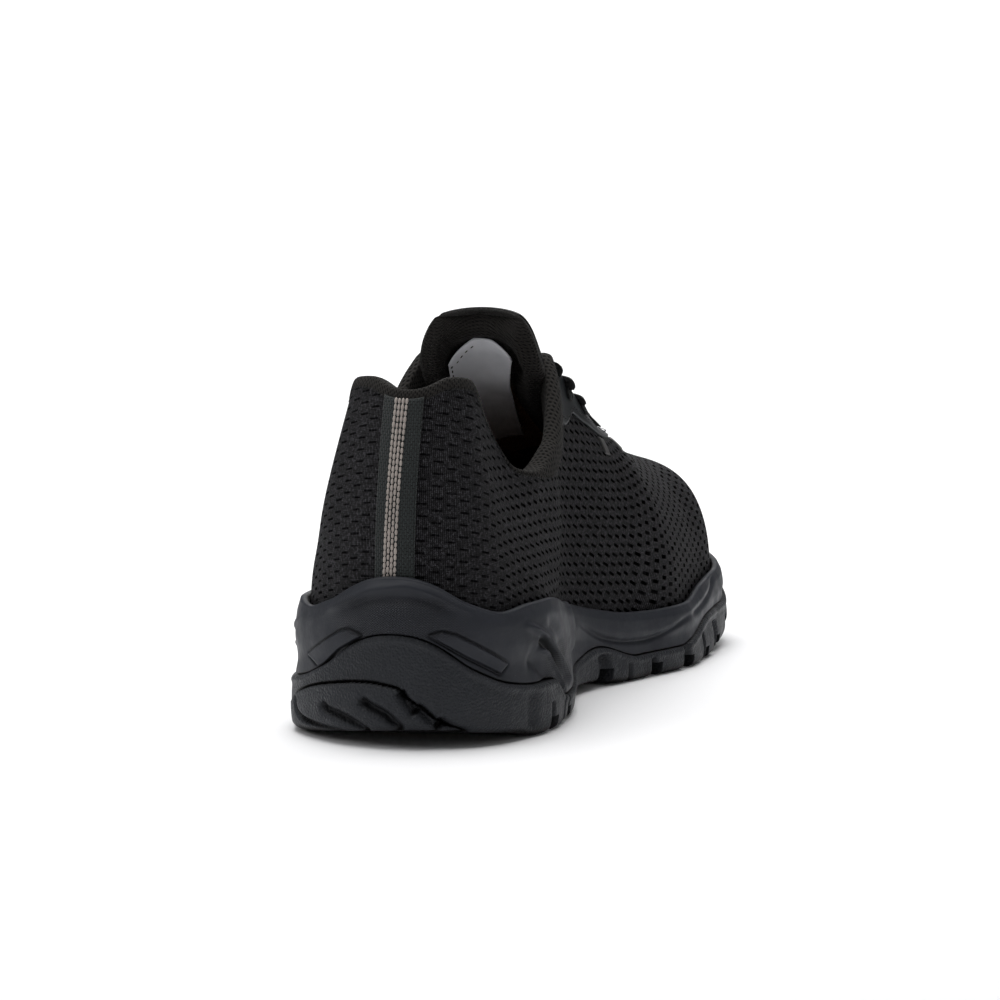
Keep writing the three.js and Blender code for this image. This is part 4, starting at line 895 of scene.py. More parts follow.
# Steps of the rubber's wall: the strike block at the heel stands proud below its edge line.
def outsoleRelief(distance, z):
    away, sign, along = lineDistance(distance, z, rounded(blockTop, 4))
    reach = smooth(-60, -50, distance) * smooth(34, 24, distance)
    off = np.where(sign < 0, 1.1 * smooth(0, 0.4, away), -2.0 * np.exp(-((away / 0.5) ** 2))) * reach
    for row in sipeLines:
        off -= row["deep"] * softLine(distance, z, row["line"], row["width"], 0.1)
    rib = softLine(distance, z, [(24, 26), (30, 22.5), (38, 19.2), (46, 17)], 1.2, 0.25)
    off += 0.7 * rib
    hollow = np.exp(-(((distance - 52.5) / 3.2) ** 2)) * smooth(2, 6, z) * smooth(17, 13, z)
    off -= 1.3 * hollow
    for row in wallGaps:
        near = np.exp(-(((np.abs(distance) - row["at"]) / row["half"]) ** 4))
        off -= row["deep"] * near * smooth(row["top"], row["top"] - 2, z)
    return off


def makeOutsole():
    sizes = outsolePiece
    turns = soleTurns(sizes["stations"])
    floor = floorAt(turns)
    top = np.maximum(rubberAt(turns), floor + sizes["lug"] + sizes["base"] + shoe["gap"])
    steps = np.linspace(0, 1, sizes["wallSteps"])
    turn, k = np.meshgrid(turns, steps, indexing="ij")
    z = mix(floor[:, None], top[:, None], k)
    share = shareAtHeight(turn, z)
    wall = soleSkin(turn, share)
    signed = np.where(turn > 0.5, turn - 1, turn)
    distance = aroundAt(signed)
    foot = 0.45 * np.exp(-(((top[:, None] - 1.5 - z) / 1.0) ** 2)) - 1.3 * np.exp(-(z - floor[:, None]) / 0.8)
    crown = -0.5 * smooth(0.965, 1, k)
    off = shoe["proud"] + outsoleRelief(distance, z) * smooth(0, 0.05, 1 - k) + foot + crown
    wall = wall + off[..., None] * awayAt(turn)
    topIn = soleSkin(turns, shareAtHeight(turns, top)) - 2.9 * awayAt(turns)
    inner = soleSkin(turns, shareAtHeight(turns, floor + sizes["lug"] + sizes["base"])) - 3 * awayAt(turns)
    loops = np.concatenate([wall, topIn[:, None], inner[:, None]], 1)
    count, cols = len(turns), loops.shape[1]
    points = [loops.reshape(-1, 3)]
    faces = [gridFaces(count, cols, closeRows=True)]
    half, rungs = count // 2, sizes["rungs"]
    total = count * cols
    share_ = (np.arange(1, rungs) / rungs)[None, :, None]
    across = np.arange(1, half)
    for column_, flip in ((0, False), (cols - 1, True)):
        a, b = across * cols + column_, (count - across) * cols + column_
        made = mix(loops[across, column_][:, None], loops[count - across, column_][:, None], share_)
        points.append(made.reshape(-1, 3))
        middle = total + np.arange(made.shape[0] * made.shape[1]).reshape(made.shape[:2])
        total += middle.size
        rows = np.concatenate([a[:, None], middle, b[:, None]], 1)
        quads = np.stack([rows[:-1, :-1], rows[1:, :-1], rows[1:, 1:], rows[:-1, 1:]], -1).reshape(-1, 4)
        first = np.stack([np.full(rungs, column_), rows[0, :-1], rows[0, 1:]], -1)
        last = np.stack([rows[-1, :-1], np.full(rungs, half * cols + column_), rows[-1, 1:]], -1)
        faces += [quads if flip else quads[:, ::-1]]
        faces += [first if flip else first[:, ::-1], last if flip else last[:, ::-1]]
    return meshFrom("outsole_rubber", np.concatenate(points), faces, None)


# The eight corners of a channel cut up into the sole.
def channel(x, y, length, width, slant, roof):
    angle = math.radians(slant)
    out = []
    for z in (-8, roof):
        for v in (-width / 2, width / 2):
            for u in (-length / 2, length / 2):
                out.append((x + u * math.cos(angle) - v * math.sin(angle), y + u * math.sin(angle) + v * math.cos(angle), z))
    return np.array(out, float)


# Channels in three sets, none of which meets another of its own set.
def grooveCutters():
    edges, arms = [], {1: [], -1: []}
    overrun = 12
    for side in (1, -1):
        for at, reach, slant, width in zip(*(edgeGrooves[k] for k in ("at", "reach", "slant", "width"))):
            turn = turnAt(np.array(at), side)
            edgeX, edgeY = (float(v) for v in outline(turn, 0))
            length = reach * shoe["ball"]
            angle = math.radians(side * slant)
            middle = (length - overrun) / 2
            x, y = edgeX - side * math.cos(angle) * middle, edgeY - side * math.sin(angle) * middle
            edges.append(channel(x, y, length + overrun, width, side * slant, float(floorAt(turn)) + outsolePiece["lug"]))
        for at, arm in zip(chevrons["at"], chevrons["arm"]):
            length, angle = arm * shoe["ball"], math.radians(-28 * side)
            x = float(column(planRows, "centre", np.array(at))) * shoe["ball"] + side * math.cos(angle) * length / 2
            y = (at - 0.5) * shoe["length"] + side * math.sin(angle) * length / 2
            roof = float(column(springRows, "inner", np.array(at))) * shoe["sole"] + outsolePiece["lug"]
            arms[side].append(channel(x, y, length + 4.6, 4.6, -28 * side, roof))
    return [edges, arms[1], arms[-1]]


def cutGrooves(target):
    one = np.array([(0, 2, 3, 1), (4, 5, 7, 6), (0, 1, 5, 4), (2, 6, 7, 3), (0, 4, 6, 2), (1, 3, 7, 5)])
    for boxes in grooveCutters():
        cutter = meshFrom("cutter", np.concatenate(boxes), np.concatenate([one + 8 * i for i in range(len(boxes))]), None, False)
        modifier = target.modifiers.new("cut", "BOOLEAN")
        modifier.operation = "DIFFERENCE"
        modifier.solver = "MANIFOLD"
        modifier.object = cutter
        bpy.context.view_layer.update()
        graph = bpy.context.evaluated_depsgraph_get()
        made = bpy.data.meshes.new_from_object(target.evaluated_get(graph))
        target.modifiers.clear()
        made.materials.clear()
        made.polygons.foreach_set("material_index", np.zeros(len(made.polygons), np.int32))
        target.data = made
        bpy.data.objects.remove(cutter)
        print("grooves cut", len(made.polygons))


outsoleMesh = makeOutsole()
print("outsole grid made", len(outsoleMesh.data.polygons))
cutGrooves(outsoleMesh)
outsoleMesh.name = "outsole_rubber"
outsoleMesh.data.name = "outsole_rubber"
outsoleMesh.data.polygons.foreach_set("use_smooth", np.full(len(outsoleMesh.data.polygons), True))
outsoleMesh.data.set_sharp_from_angle(angle=math.radians(50))
finishPiece(outsoleMesh, finishes["rubber"], ["outsole"])
print("outsole made", len(outsoleMesh.data.polygons))


# Sheets that lie on a surface: a thick patch over a grid
# A thick patch of a surface between two offsets, its rim eased down by round_ millimetres.
def patchMesh(name, place, us, vs, low, high, round_=0.0):
    u, v = np.meshgrid(us, vs, indexing="ij")
    rows, cols = u.shape
    i, j = np.meshgrid(np.arange(rows), np.arange(cols), indexing="ij")
    rim = np.minimum(np.minimum(i, rows - 1 - i), np.minimum(j, cols - 1 - j))
    top = place(u, v, high - round_ * (rim == 0))
    base = place(u, v, np.full_like(u, low))
    points = np.concatenate([top.reshape(-1, 3), base.reshape(-1, 3)])
    count = rows * cols
    faces = [gridFaces(rows, cols), gridFaces(rows, cols, start=count)[:, ::-1]]
    ring = [(a, 0) for a in range(rows)] + [(rows - 1, b) for b in range(1, cols)]
    ring += [(a, cols - 1) for a in range(rows - 2, -1, -1)] + [(0, b) for b in range(cols - 2, 0, -1)]
    index = np.array([a * cols + b for a, b in ring])
    after = np.roll(index, -1)
    faces.append(np.stack([index, index + count, after + count, after], -1))
    along = np.concatenate([np.zeros((1, cols)), np.cumsum(np.linalg.norm(np.diff(top, axis=0), axis=-1), 0)])
    up = np.concatenate([np.zeros((rows, 1)), np.cumsum(np.linalg.norm(np.diff(top, axis=1), axis=-1), 1)], 1)
    uv = np.stack([along, up], -1).reshape(-1, 2)
    return meshFrom(name, points, np.concatenate(faces), np.concatenate([uv, uv]))


# The rib share at which the skin lies a distance below the opening.
def ribBelowEdge(turn, distance):
    turn = np.asarray(turn, float)
    ribs = np.linspace(1, 0, 121)
    skin = upperSkin(turn[..., None], ribs + 0 * turn[..., None])
    length = np.cumsum(np.linalg.norm(np.diff(skin, axis=-2), axis=-1), -1)
    length = np.concatenate([np.zeros(length.shape[:-1] + (1,)), length], -1)
    flat = length.reshape(-1, 121)
    want = np.broadcast_to(distance, turn.shape).reshape(-1)
    return np.array([np.interp(d, row, ribs) for d, row in zip(want, flat)]).reshape(turn.shape)


# Sections drawn as curves through a few points
# A smooth curve through points along the second last axis, steps pieces between each two.
def curveThrough(points, steps):
    first = 2 * points[..., :1, :] - points[..., 1:2, :]
    last = 2 * points[..., -1:, :] - points[..., -2:-1, :]
    p = np.concatenate([first, points, last], -2)
    out = []
    for i in range(1, p.shape[-2] - 2):
        a, b, c, d = (p[..., k, :] for k in (i - 1, i, i + 1, i + 2))
        for t in np.arange(steps) / steps:
            out.append(0.5 * (2 * b + (c - a) * t + (2 * a - 5 * b + 4 * c - d) * t**2 + (3 * b - a - 3 * c + d) * t**3))
    out.append(p[..., -2, :])
    return np.stack(out, -2)


# A closed body from a grid of closed sections with a fan at each end; along holds each point's distance.
def sweptMesh(name, grid, along=None):
    rows, cols = grid.shape[:2]
    points = np.concatenate([grid.reshape(-1, 3), grid[0].mean(0)[None], grid[-1].mean(0)[None]])
    j = np.arange(cols)
    following = (j + 1) % cols
    middle, last = rows * cols, (rows - 1) * cols
    faces = [
        gridFaces(rows, cols, closeCols=True)[:, ::-1],
        np.stack([np.full(cols, middle), j, following], -1)[:, ::-1],
        np.stack([np.full(cols, middle + 1), last + following, last + j], -1)[:, ::-1],
    ]
    if along is None:
        along = np.concatenate([np.zeros((1, cols)), np.cumsum(np.linalg.norm(np.diff(grid, axis=0), axis=-1), 0)])
    around = np.concatenate([np.zeros((rows, 1)), np.cumsum(np.linalg.norm(np.diff(grid, axis=1), axis=-1), 1)], 1)
    uv = np.concatenate([np.stack([along, around], -1).reshape(-1, 2), np.zeros((2, 2))])
    return meshFrom(name, points, faces, uv)


collarPiece = dict(stations=300, curveGap=0.45, reach=0.002, steps=5)
# stand: how far the padding rises over the upper's edge, wrap: how far it reaches down outside, fat: how far it
# stands out there, all in millimetres
wrapRows = table(
    "at stand wrap fat",
    (0, 2.2, 2.0, 0.35), (0.2, 2.0, 1.6, 0.25), (0.36, 1.4, 0.6, -0.4), (0.56, 1.2, 0.6, -0.4), (0.64, 2.0, 2.5, 0.6),
    (0.72, 4.4, 6.0, 1.5), (0.85, 4.6, 7.5, 1.9), (1, 3.2, 7.5, 1.6),
)
wrapRows["at"] = shareOf(wrapRows["at"])


# Padded lining that rolls over the collar's edge, and past the ankle also over the upper's outside.
def makeCollarLining():
    sizes = collarPiece
    end = turnAt(np.array(shoe["throatStart"] - sizes["reach"]), 1)
    turns = np.linspace(-end, end, sizes["stations"])
    at = placeOf(turns)[0]
    one = np.ones_like(turns)
    edge = upperSkin(turns, one)
    out = upperNormal(turns, one)
    up = unit(edge - upperSkin(turns, 0.97 * one))
    outer = -shoe["wall"] - sizes["curveGap"]
    stand = column(wrapRows, "stand", at)[:, None]
    wrap, fat = column(wrapRows, "wrap", at), column(wrapRows, "fat", at)
    pad = column(collarRows, "pad", at)[:, None] * shoe["collarPad"]
    pad = pad * (1 - 0.45 * smooth(0.24, 0.3, at))[:, None]

    def over(off, lift):
        return edge + off * out + lift * up

    def inside(rib, thickness):
        return upperOut(turns, rib * one, outer - np.broadcast_to(thickness, (len(turns), 1))[:, 0])

    def outside(share, off):
        return upperOut(turns, ribBelowEdge(turns, wrap * share), fat * off + 0.12)

    shown = [
        inside(0.5, 0.9), inside(0.6, 0.4 * pad), inside(0.72, 0.8 * pad), inside(0.86, 0.98 * pad),
        over(outer - pad, -stand * 0.4), over(outer - pad * 0.8, stand * 0.6), over(outer - pad * 0.3, stand),
        over(-0.5 * shoe["wall"], stand * 0.98), over(0.55 * fat[:, None], stand * 0.62), outside(0.12, 0.95),
        outside(0.45, 1.0), outside(0.8, 0.75), outside(0.97, 0.2), outside(1.0, -0.6),
    ]
    face = curveThrough(np.stack(shown, 1), sizes["steps"])
    back_ = np.stack([over(outer, -0.5), inside(0.9, 0), inside(0.75, 0), inside(0.6, 0), inside(0.5, 0)], 1)
    grid = np.concatenate([face, back_], 1)
    around = aroundAt(turns)[:, None] * np.ones(grid.shape[1])
    return sweptMesh("collar_padding", grid, around), upperOut(turns, ribBelowEdge(turns, wrap + 0.2), 0.1 + 0 * fat), turns


collarObject, collarSeam, collarTurns = makeCollarLining()
finishPiece(collarObject, finishes["lining"], ["collar_lining"])
print("collar made")

# Tongue
tonguePiece = dict(across=90, along=190, rim=8.4, broad=8.0, recess=3.0, wornFrom=24)


def tonguePoint(along, across, off):
    half = column(tongueRows, "half", along) * shoe["ball"]
    bend = column(tongueRows, "bend", along) * shoe["ball"]

    def place(k):
        x = column(tongueRows, "centre", k) * shoe["ball"]
        y = (column(tongueRows, "along", k) - 0.5) * shoe["length"]
        z = column(tongueRows, "up", k) * shoe["instep"] + column(tongueRows, "over", k) * shoe["tongueStand"]
        return np.stack([x, y, z], -1)

    here = place(along)
    tangent = unit(place(np.minimum(along + 1e-3, 1)) - place(np.maximum(along - 1e-3, 0)))
    front = -unit(np.cross(np.array([1.0, 0, 0]), tangent))
    corner = np.clip((along - 0.82) / 0.18, 0, 1)
    narrow = np.sqrt(np.maximum(1 - (0.74 * corner) ** 2.4, 0))
    angle = across * half * narrow / bend
    radius = bend + off
    side = np.stack([radius * np.sin(angle), 0 * angle, 0 * angle], -1)
    return here + front * (radius * np.cos(angle) - bend)[..., None] + side


# A point of the tongue's front, or of its back face, moved out by an offset; its top is rolled round.
def tongueSurface(across, along, off, behind):
    last = np.clip((along - 0.93) / 0.07, 0, 1)
    thick = column(tongueRows, "thick", along) * shoe["tongueThick"] * np.maximum(np.sqrt(np.maximum(1 - last**2, 0)), 0.1)
    front = 0.5 * (1 - np.abs(across) ** 6)
    back = 0.5 + 0.18 * across**2 - 0.5 * across**8
    return tonguePoint(along, across, -thick * back - off if behind else thick * front + off)


# How far a share of the tongue lies under its top.
def tongueDrop(along):
    z = column(tongueRows, "up", along) * shoe["instep"] + column(tongueRows, "over", along) * shoe["tongueStand"]
    return shoe["instep"] + shoe["tongueStand"] - z


# Padded tongue: a thick soft rim round a sunken inner panel, with a seam between them.
def makeTongue():
    sizes = tonguePiece
    along = 1 - (1 - np.linspace(0, 1, sizes["along"])) ** 1.8
    across = np.sin(np.linspace(-math.pi / 2, math.pi / 2, sizes["across"]))
    v, u = np.meshgrid(along, across, indexing="ij")
    half = column(tongueRows, "half", v) * shoe["ball"]
    corner = np.clip((v - 0.82) / 0.18, 0, 1)
    narrow = np.sqrt(np.maximum(1 - (0.74 * corner) ** 2.4, 0))
    fromSide = (1 - np.abs(u)) * half * narrow
    fromTop = tongueDrop(v)
    inside = 1 / np.sqrt(1 / np.maximum(fromSide, 0.01) ** 2 + 1 / np.maximum(fromTop, 0.01) ** 2)
    rim = sizes["rim"] + sizes["broad"] * smooth(14, 34, fromTop) * (u > 0)
    swell = 1.5 * np.exp(-(((inside - 0.45 * rim) / (0.3 * rim)) ** 2))
    keep = smooth(1, 0.93, v)
    sunk = (-sizes["recess"] * smooth(rim - 2.0, rim + 1.0, inside) + swell) * keep
    frontFace = tongueSurface(u, v, 0 * u, False)
    backFace = tongueSurface(u, v, sunk, True)[:, ::-1][:, 1:-1]
    grid = np.concatenate([frontFace, backFace], 1)
    made = sweptMesh("tongue_padding", grid)
    panel = smooth(rim - 1, rim + 2, inside) * smooth(sizes["wornFrom"], sizes["wornFrom"] + 10, fromTop)
    worn = np.zeros(grid.shape[:2])
    worn[:, frontFace.shape[1]:] = panel[:, ::-1][:, 1:-1]
    pointValues(made, "worn", np.concatenate([worn.ravel(), [0, 0]]))
    return made


finishPiece(makeTongue(), finishes["lining"], ["tongue"])


def tongueTab():
    place = lambda u, v, off: tongueSurface(u, v, off, False)
    return patchMesh("tongue_cap", place, np.linspace(0.8, -0.8, 50), np.linspace(0.78, 0.995, 60), 0.1, 1.0, 0.4)


# Top edge of the bare label, across and down from the tongue's top, as its folded corners fall
labelPiece = dict(top=[(-16, 13.2), (-4, 8.7), (3.4, 9.3), (11, 12.6)], bottom=46, lean=-0.26, spread=0.008)


def labelPoint(u, v, off):
    corners = np.array(labelPiece["top"], float)
    down = mix(np.interp(u, corners[:, 0], corners[:, 1]), labelPiece["bottom"], v)
    shares = np.linspace(1, 0, 400)
    along = np.interp(down, tongueDrop(shares), shares)
    half = column(tongueRows, "half", along) * shoe["ball"]
    low = np.maximum(down - 14, 0)
    across = u * (1 - labelPiece["spread"] * low * (u > 0)) + labelPiece["lean"] * low * smooth(-16, 11, u)
    lift = -2.4 + 1.6 * (1 - v) * np.abs(u / 13) ** 1.5 + 0.6 * (1 - v) + 0.09 * low
    return tongueSurface(across / half, along, lift + off, True)


def tongueLabel():
    return patchMesh("tongue_label_bare", labelPoint, np.linspace(-16, 11, 50), np.linspace(1, 0, 50), 0.0, 0.5, 0.15)


finishPiece(tongueTab(), finishes["tab"], ["tongue_tab"])
finishPiece(tongueLabel(), finishes["label"], ["tongue_label"])
print("tongue made")

# Heel tape
tapePiece = dict(width=13.1, offset=-1.1, thickness=0.9, curveGap=0.45)


# The turn at which a rib lies a distance across from the heel's middle.
def turnAcross(rib, distance):
    sign = np.where(distance < 0, -1.0, 1.0)
    low, high = np.zeros_like(rib), np.full_like(rib, 0.2)
    for _ in range(24):
        middle = (low + high) / 2
        nearer = np.abs(upperSkin(sign * middle, rib)[..., 0]) < np.abs(distance)
        low, high = np.where(nearer, middle, low), np.where(nearer, high, middle)
    return sign * (low + high) / 2


def tapePoint(across, share, off):
    zero = np.zeros_like(share)
    foot = ribAtHeight(zero, edgeAt(zero) - 1.5)
    rib = mix(foot, 0.985, share)
    return upperOut(turnAcross(rib, tapePiece["offset"] + across * tapePiece["width"] / 2), rib, off)


tapeObject = patchMesh("heel_webbing", tapePoint, np.linspace(-1, 1, 40), np.linspace(0, 1, 110), 0.2, 1.2, 0.5)
finishPiece(tapeObject, finishes["webbing"], ["heel_tape"])


# Small things repeated along a path: a curve from an edge mesh, beads on it, made real
# Edges through each row of points, with the way each one faces.
def pathObject(name, points, facing):
    data = bpy.data.meshes.new(name)
    data.from_pydata([tuple(p) for row in points for p in (row + shift) * mm], [], [])
    edges, start = [], 0
    for row in points:
        edges += [(start + i, start + i + 1) for i in range(len(row) - 1)]
        start += len(row)
    data.edges.add(len(edges))
    data.edges.foreach_set("vertices", np.array(edges, np.int32).ravel())
    data.update()
    layer = data.attributes.new("facing", "FLOAT_VECTOR", "POINT")
    layer.data.foreach_set("vector", np.concatenate(facing).astype(np.float32).ravel())
    made = bpy.data.objects.new(name, data)
    bpy.context.scene.collection.objects.link(made)
    return made


# Beads spaced along a path, each with its own length, width and height.
def beadTree():
    tree = bpy.data.node_groups.new("beads", "GeometryNodeTree")
    face = tree.interface
    face.new_socket("Geometry", in_out="INPUT", socket_type="NodeSocketGeometry")
    for name in ("Spacing", "Length", "Width", "Height", "Unevenness"):
        face.new_socket(name, in_out="INPUT", socket_type="NodeSocketFloat")
    face.new_socket("Material", in_out="INPUT", socket_type="NodeSocketMaterial")
    face.new_socket("Geometry", in_out="OUTPUT", socket_type="NodeSocketGeometry")
    source = node(tree, "NodeGroupInput").outputs
    sink = node(tree, "NodeGroupOutput")
    curve = node(tree, "GeometryNodeMeshToCurve", links={"Mesh": source["Geometry"]})
    even = node(tree, "GeometryNodeResampleCurve", links={"Curve": curve.outputs[0], "Length": source["Spacing"]}, mode="LENGTH")
    way = node(tree, "GeometryNodeInputTangent")
    out = node(tree, "GeometryNodeInputNamedAttribute", {"Name": "facing"}, data_type="FLOAT_VECTOR")
    first = node(tree, "FunctionNodeAlignRotationToVector", links={"Vector": way.outputs[0]}, axis="X")
    second = node(tree, "FunctionNodeAlignRotationToVector", links={"Rotation": first.outputs[0], "Vector": out.outputs[0]}, axis="Z", pivot_axis="X")
    bead = node(tree, "GeometryNodeMeshUVSphere", {"Segments": 8, "Rings": 5, "Radius": 0.5})
    smoothed = node(tree, "GeometryNodeSetShadeSmooth", links={"Geometry": bead.outputs["Mesh"]})
    size = node(tree, "ShaderNodeCombineXYZ", links={"X": source["Length"], "Y": source["Width"], "Z": source["Height"]})
    vary = node(tree, "FunctionNodeRandomValue", {"Seed": 5}, data_type="FLOAT")
    vary.inputs[2].default_value = -1
    vary.inputs[3].default_value = 1
    change = node(tree, "ShaderNodeMath", links={0: vary.outputs[1], 1: source["Unevenness"]}, operation="MULTIPLY")
    factor = node(tree, "ShaderNodeMath", {1: 1.0}, {0: change.outputs[0]}, operation="ADD")
    sized = node(tree, "ShaderNodeVectorMath", links={0: size.outputs[0]}, operation="SCALE")
    tree.links.new(factor.outputs[0], sized.inputs["Scale"])
    placed = node(tree, "GeometryNodeInstanceOnPoints", links={
        "Points": even.outputs[0], "Instance": smoothed.outputs[0], "Rotation": second.outputs[0], "Scale": sized.outputs[0],
    })
    real = node(tree, "GeometryNodeRealizeInstances", links={"Geometry": placed.outputs[0]})
    painted = node(tree, "GeometryNodeSetMaterial", links={"Geometry": real.outputs[0], "Material": source["Material"]})
    tree.links.new(painted.outputs[0], sink.inputs[0])
    return tree


beads = beadTree()


def beadPiece(name, points, facing, spacing, length, width, height, material, uneven=0.12):
    made = pathObject(name, points, facing)
    modifier = made.modifiers.new("beads", "NODES")
    modifier.node_group = beads
    values = {"Spacing": spacing * mm, "Length": length * mm, "Width": width * mm, "Height": height * mm,
              "Unevenness": uneven, "Material": material}
    for item in beads.interface.items_tree:
        if item.in_out == "INPUT" and item.name in values:
            modifier[item.identifier] = values[item.name]
    bpy.context.view_layer.update()
    graph = bpy.context.evaluated_depsgraph_get()
    data = bpy.data.meshes.new_from_object(made.evaluated_get(graph))
    made.modifiers.clear()
    made.data = data
    if not data.materials:
        data.materials.append(material)
    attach(made, "root")
    return made


def tapeGrains():
    rows, facings = [], []
    for k, dx in enumerate((-1.72, -0.58, 0.58, 1.72)):
        share = np.linspace(0.02 + 0.011 * (k % 2), 0.985, 90)
        middle = mix(-2.4, -1.15, share)
        across = (middle + dx - tapePiece["offset"]) / (tapePiece["width"] / 2)
        rows.append(tapePoint(across, share, np.full_like(share, 1.25)))
        facings.append(upperNormal(np.zeros_like(share), np.linspace(0.3, 0.98, 90)))
    return beadPiece("reflective_grains", rows, facings, 1.95, 2.15, 1.05, 0.7, finishes["grain"])


tapeGrains()
print("tape made")

# Eyestays, eyelets, lace and marks
stayPiece = dict(band=12, panel=20, panelEnd=1.31, taper=0.04, thickness=1.2, low=0.45, eyelet=2.2, drop=6, margin=0.02, pairs=5)


def bandAt(at):
    panel = np.clip((shareOf(stayPiece["panelEnd"]) - at) / stayPiece["taper"], 0, 1)
    return mix(stayPiece["band"], stayPiece["panel"], panel * panel * (3 - 2 * panel))


def eyestay(side, name):
    at = np.linspace(shoe["throatStart"] + 0.004, shoe["throatEnd"] - 0.002, 150)
    turns = turnAt(at, side)
    low = ribBelowEdge(turns, bandAt(at))

    def place(u, v, off):
        own = np.interp(u, turns if side > 0 else turns[::-1], low if side > 0 else low[::-1])
        return upperOut(u, mix(own, 0.985, v), off)

    us = turns if side > 0 else turns[::-1]
    return patchMesh(name, place, us, np.linspace(0, 1, 40), 0.1, 1.0, 0.5)


for side, name in ((1, "eyestay_inner"), (-1, "eyestay_outer")):
    finishPiece(eyestay(side, name + "_film"), finishes["film"], [name])


def eyeletPlaces():
    ats = np.linspace(shoe["throatStart"] + stayPiece["margin"], shoe["throatEnd"] - 1.7 * stayPiece["margin"], stayPiece["pairs"])
    out = []
    for at in ats:
        pair = []
        for side in (1, -1):
            turn = turnAt(np.array([at]), side)
            rib = ribBelowEdge(turn, stayPiece["drop"])
            rim = np.array([0.99])
            pair.append(dict(
                point=upperSkin(turn, rib)[0], normal=upperNormal(turn, rib)[0],
                rim=upperSkin(turn, rim)[0], rimNormal=upperNormal(turn, rim)[0], side=side,
            ))
        out.append(pair)
    return out


lacePiece = dict(width=4.2, height=1.0, step=1.3, rise=-0.2, sides=16)


def laceStrand(start, end):
    lift = 0.6 + lacePiece["height"] / 2
    ends = []
    for i, eyelet in enumerate((start, end)):
        aside = np.array([0, (i - 0.5) * lacePiece["step"], 0])
        ends.append([
            eyelet["point"] - 1.5 * eyelet["normal"] + aside,
            eyelet["point"] + 0.6 * lift * eyelet["normal"] + aside,
            eyelet["point"] + lift * eyelet["normal"] + 1.6 * unit(eyelet["rim"] - eyelet["point"]) + aside,
            eyelet["rim"] + (lift + lacePiece["rise"]) * eyelet["rimNormal"] + aside,
        ])
    middleY = (ends[0][3][1] + ends[1][3][1]) / 2
    grid = np.linspace(0, 1, 300)
    ys = (column(tongueRows, "along", grid) - 0.5) * shoe["length"]
    along = np.interp(-middleY, -ys, grid)
    thick = column(tongueRows, "thick", along) * shoe["tongueThick"]
    crown = tonguePoint(np.array([along]), np.array([0.0]), np.array([thick / 2 + 0.6 + lacePiece["height"] / 2]))[0]
    crown[0] = (ends[0][3][0] + ends[1][3][0]) / 2
    crown[2] = max(crown[2], (ends[0][3][2] + ends[1][3][2]) / 2 - 1.0)
    line = curveThrough(np.array(ends[0] + [crown] + ends[1][::-1]), 9)
    tangent = unit(np.gradient(line, axis=0))
    k = np.linspace(0, 1, len(line))[:, None]
    normal = unit(mix(start["normal"], end["normal"], k) + np.sin(np.pi * k) * np.array([0, 0.6, 0.8]))
    across = unit(np.cross(tangent, normal))
    lifted = np.cross(across, tangent)
    angle = np.linspace(0, 2 * math.pi, lacePiece["sides"], endpoint=False)
    c, s = np.cos(angle), np.sin(angle)
    flat = np.sign(c) * np.abs(c) ** 0.7 * lacePiece["width"] / 2
    tall = np.sign(s) * np.abs(s) ** 0.9 * lacePiece["height"] / 2
    return line[:, None] + flat[None, :, None] * across[:, None] + tall[None, :, None] * lifted[:, None]


def makeLace():
    pairs = eyeletPlaces()
    last = stayPiece["pairs"] - 1
    runs = [(pairs[last][0], pairs[last][1])]
    for i in range(last):
        runs += [(pairs[i][0], pairs[i + 1][1]), (pairs[i][1], pairs[i + 1][0])]
    points, faces, uvs, start = [], [], [], 0
    for a, b in runs:
        grid = laceStrand(a, b)
        rows, cols = grid.shape[:2]
        points.append(grid.reshape(-1, 3))
        faces.append(gridFaces(rows, cols, closeCols=True, start=start)[:, ::-1])
        i, j = np.meshgrid(np.arange(rows), np.arange(cols), indexing="ij")
        uvs.append(np.stack([i * 1.5, j * 0.8], -1).reshape(-1, 2))
        start += rows * cols
    return meshFrom("lace_cord", np.concatenate(points), np.concatenate(faces), np.concatenate(uvs))


finishPiece(makeLace(), finishes["lace"], ["lace"])


def eyeletRings():
    rows, facings = [], []
    for pair in eyeletPlaces():
        for eyelet in pair:
            normal = eyelet["normal"]
            along = unit(np.cross(normal, [0, 0, 1.0]))
            across = np.cross(normal, along)
            angle = np.linspace(0, 2 * math.pi, 25)[:, None]
            ring = eyelet["point"] + 1.75 * normal + 2.4 * (np.cos(angle) * along + np.sin(angle) * across)
            rows.append(ring)
            facings.append(np.repeat(normal[None], 25, 0))
    return beadPiece("eyelet_edging", rows, facings, 0.7, 1.1, 0.8, 0.6, finishes["thread"], 0.0)


eyeletRings()


def makeMark(at, side, name):
    ats = np.linspace(at, at + 4.8 / shoe["length"], 12)
    turns = turnAt(ats, side)
    high, low = ribBelowEdge(turns, stayPiece["band"] + 1.5), ribBelowEdge(turns, stayPiece["band"] + 8)
    order = slice(None) if side > 0 else slice(None, None, -1)

    def place(u, v, off):
        own, top = np.interp(u, turns[order], low[order]), np.interp(u, turns[order], high[order])
        return upperOut(u, mix(own, top, v), off)

    return patchMesh(name, place, turns[order], np.linspace(0, 1, 12), 0.1, 0.7, 0.25)


for number, station in ((1, 1.582), (2, 1.836)):
    for side, name in ((1, "inner"), (-1, "outer")):
        made = makeMark(float(shareOf(station)), side, f"glint_{name}_{number}")
        finishPiece(made, finishes["mark"], [f"mark_{name}_{number}"])


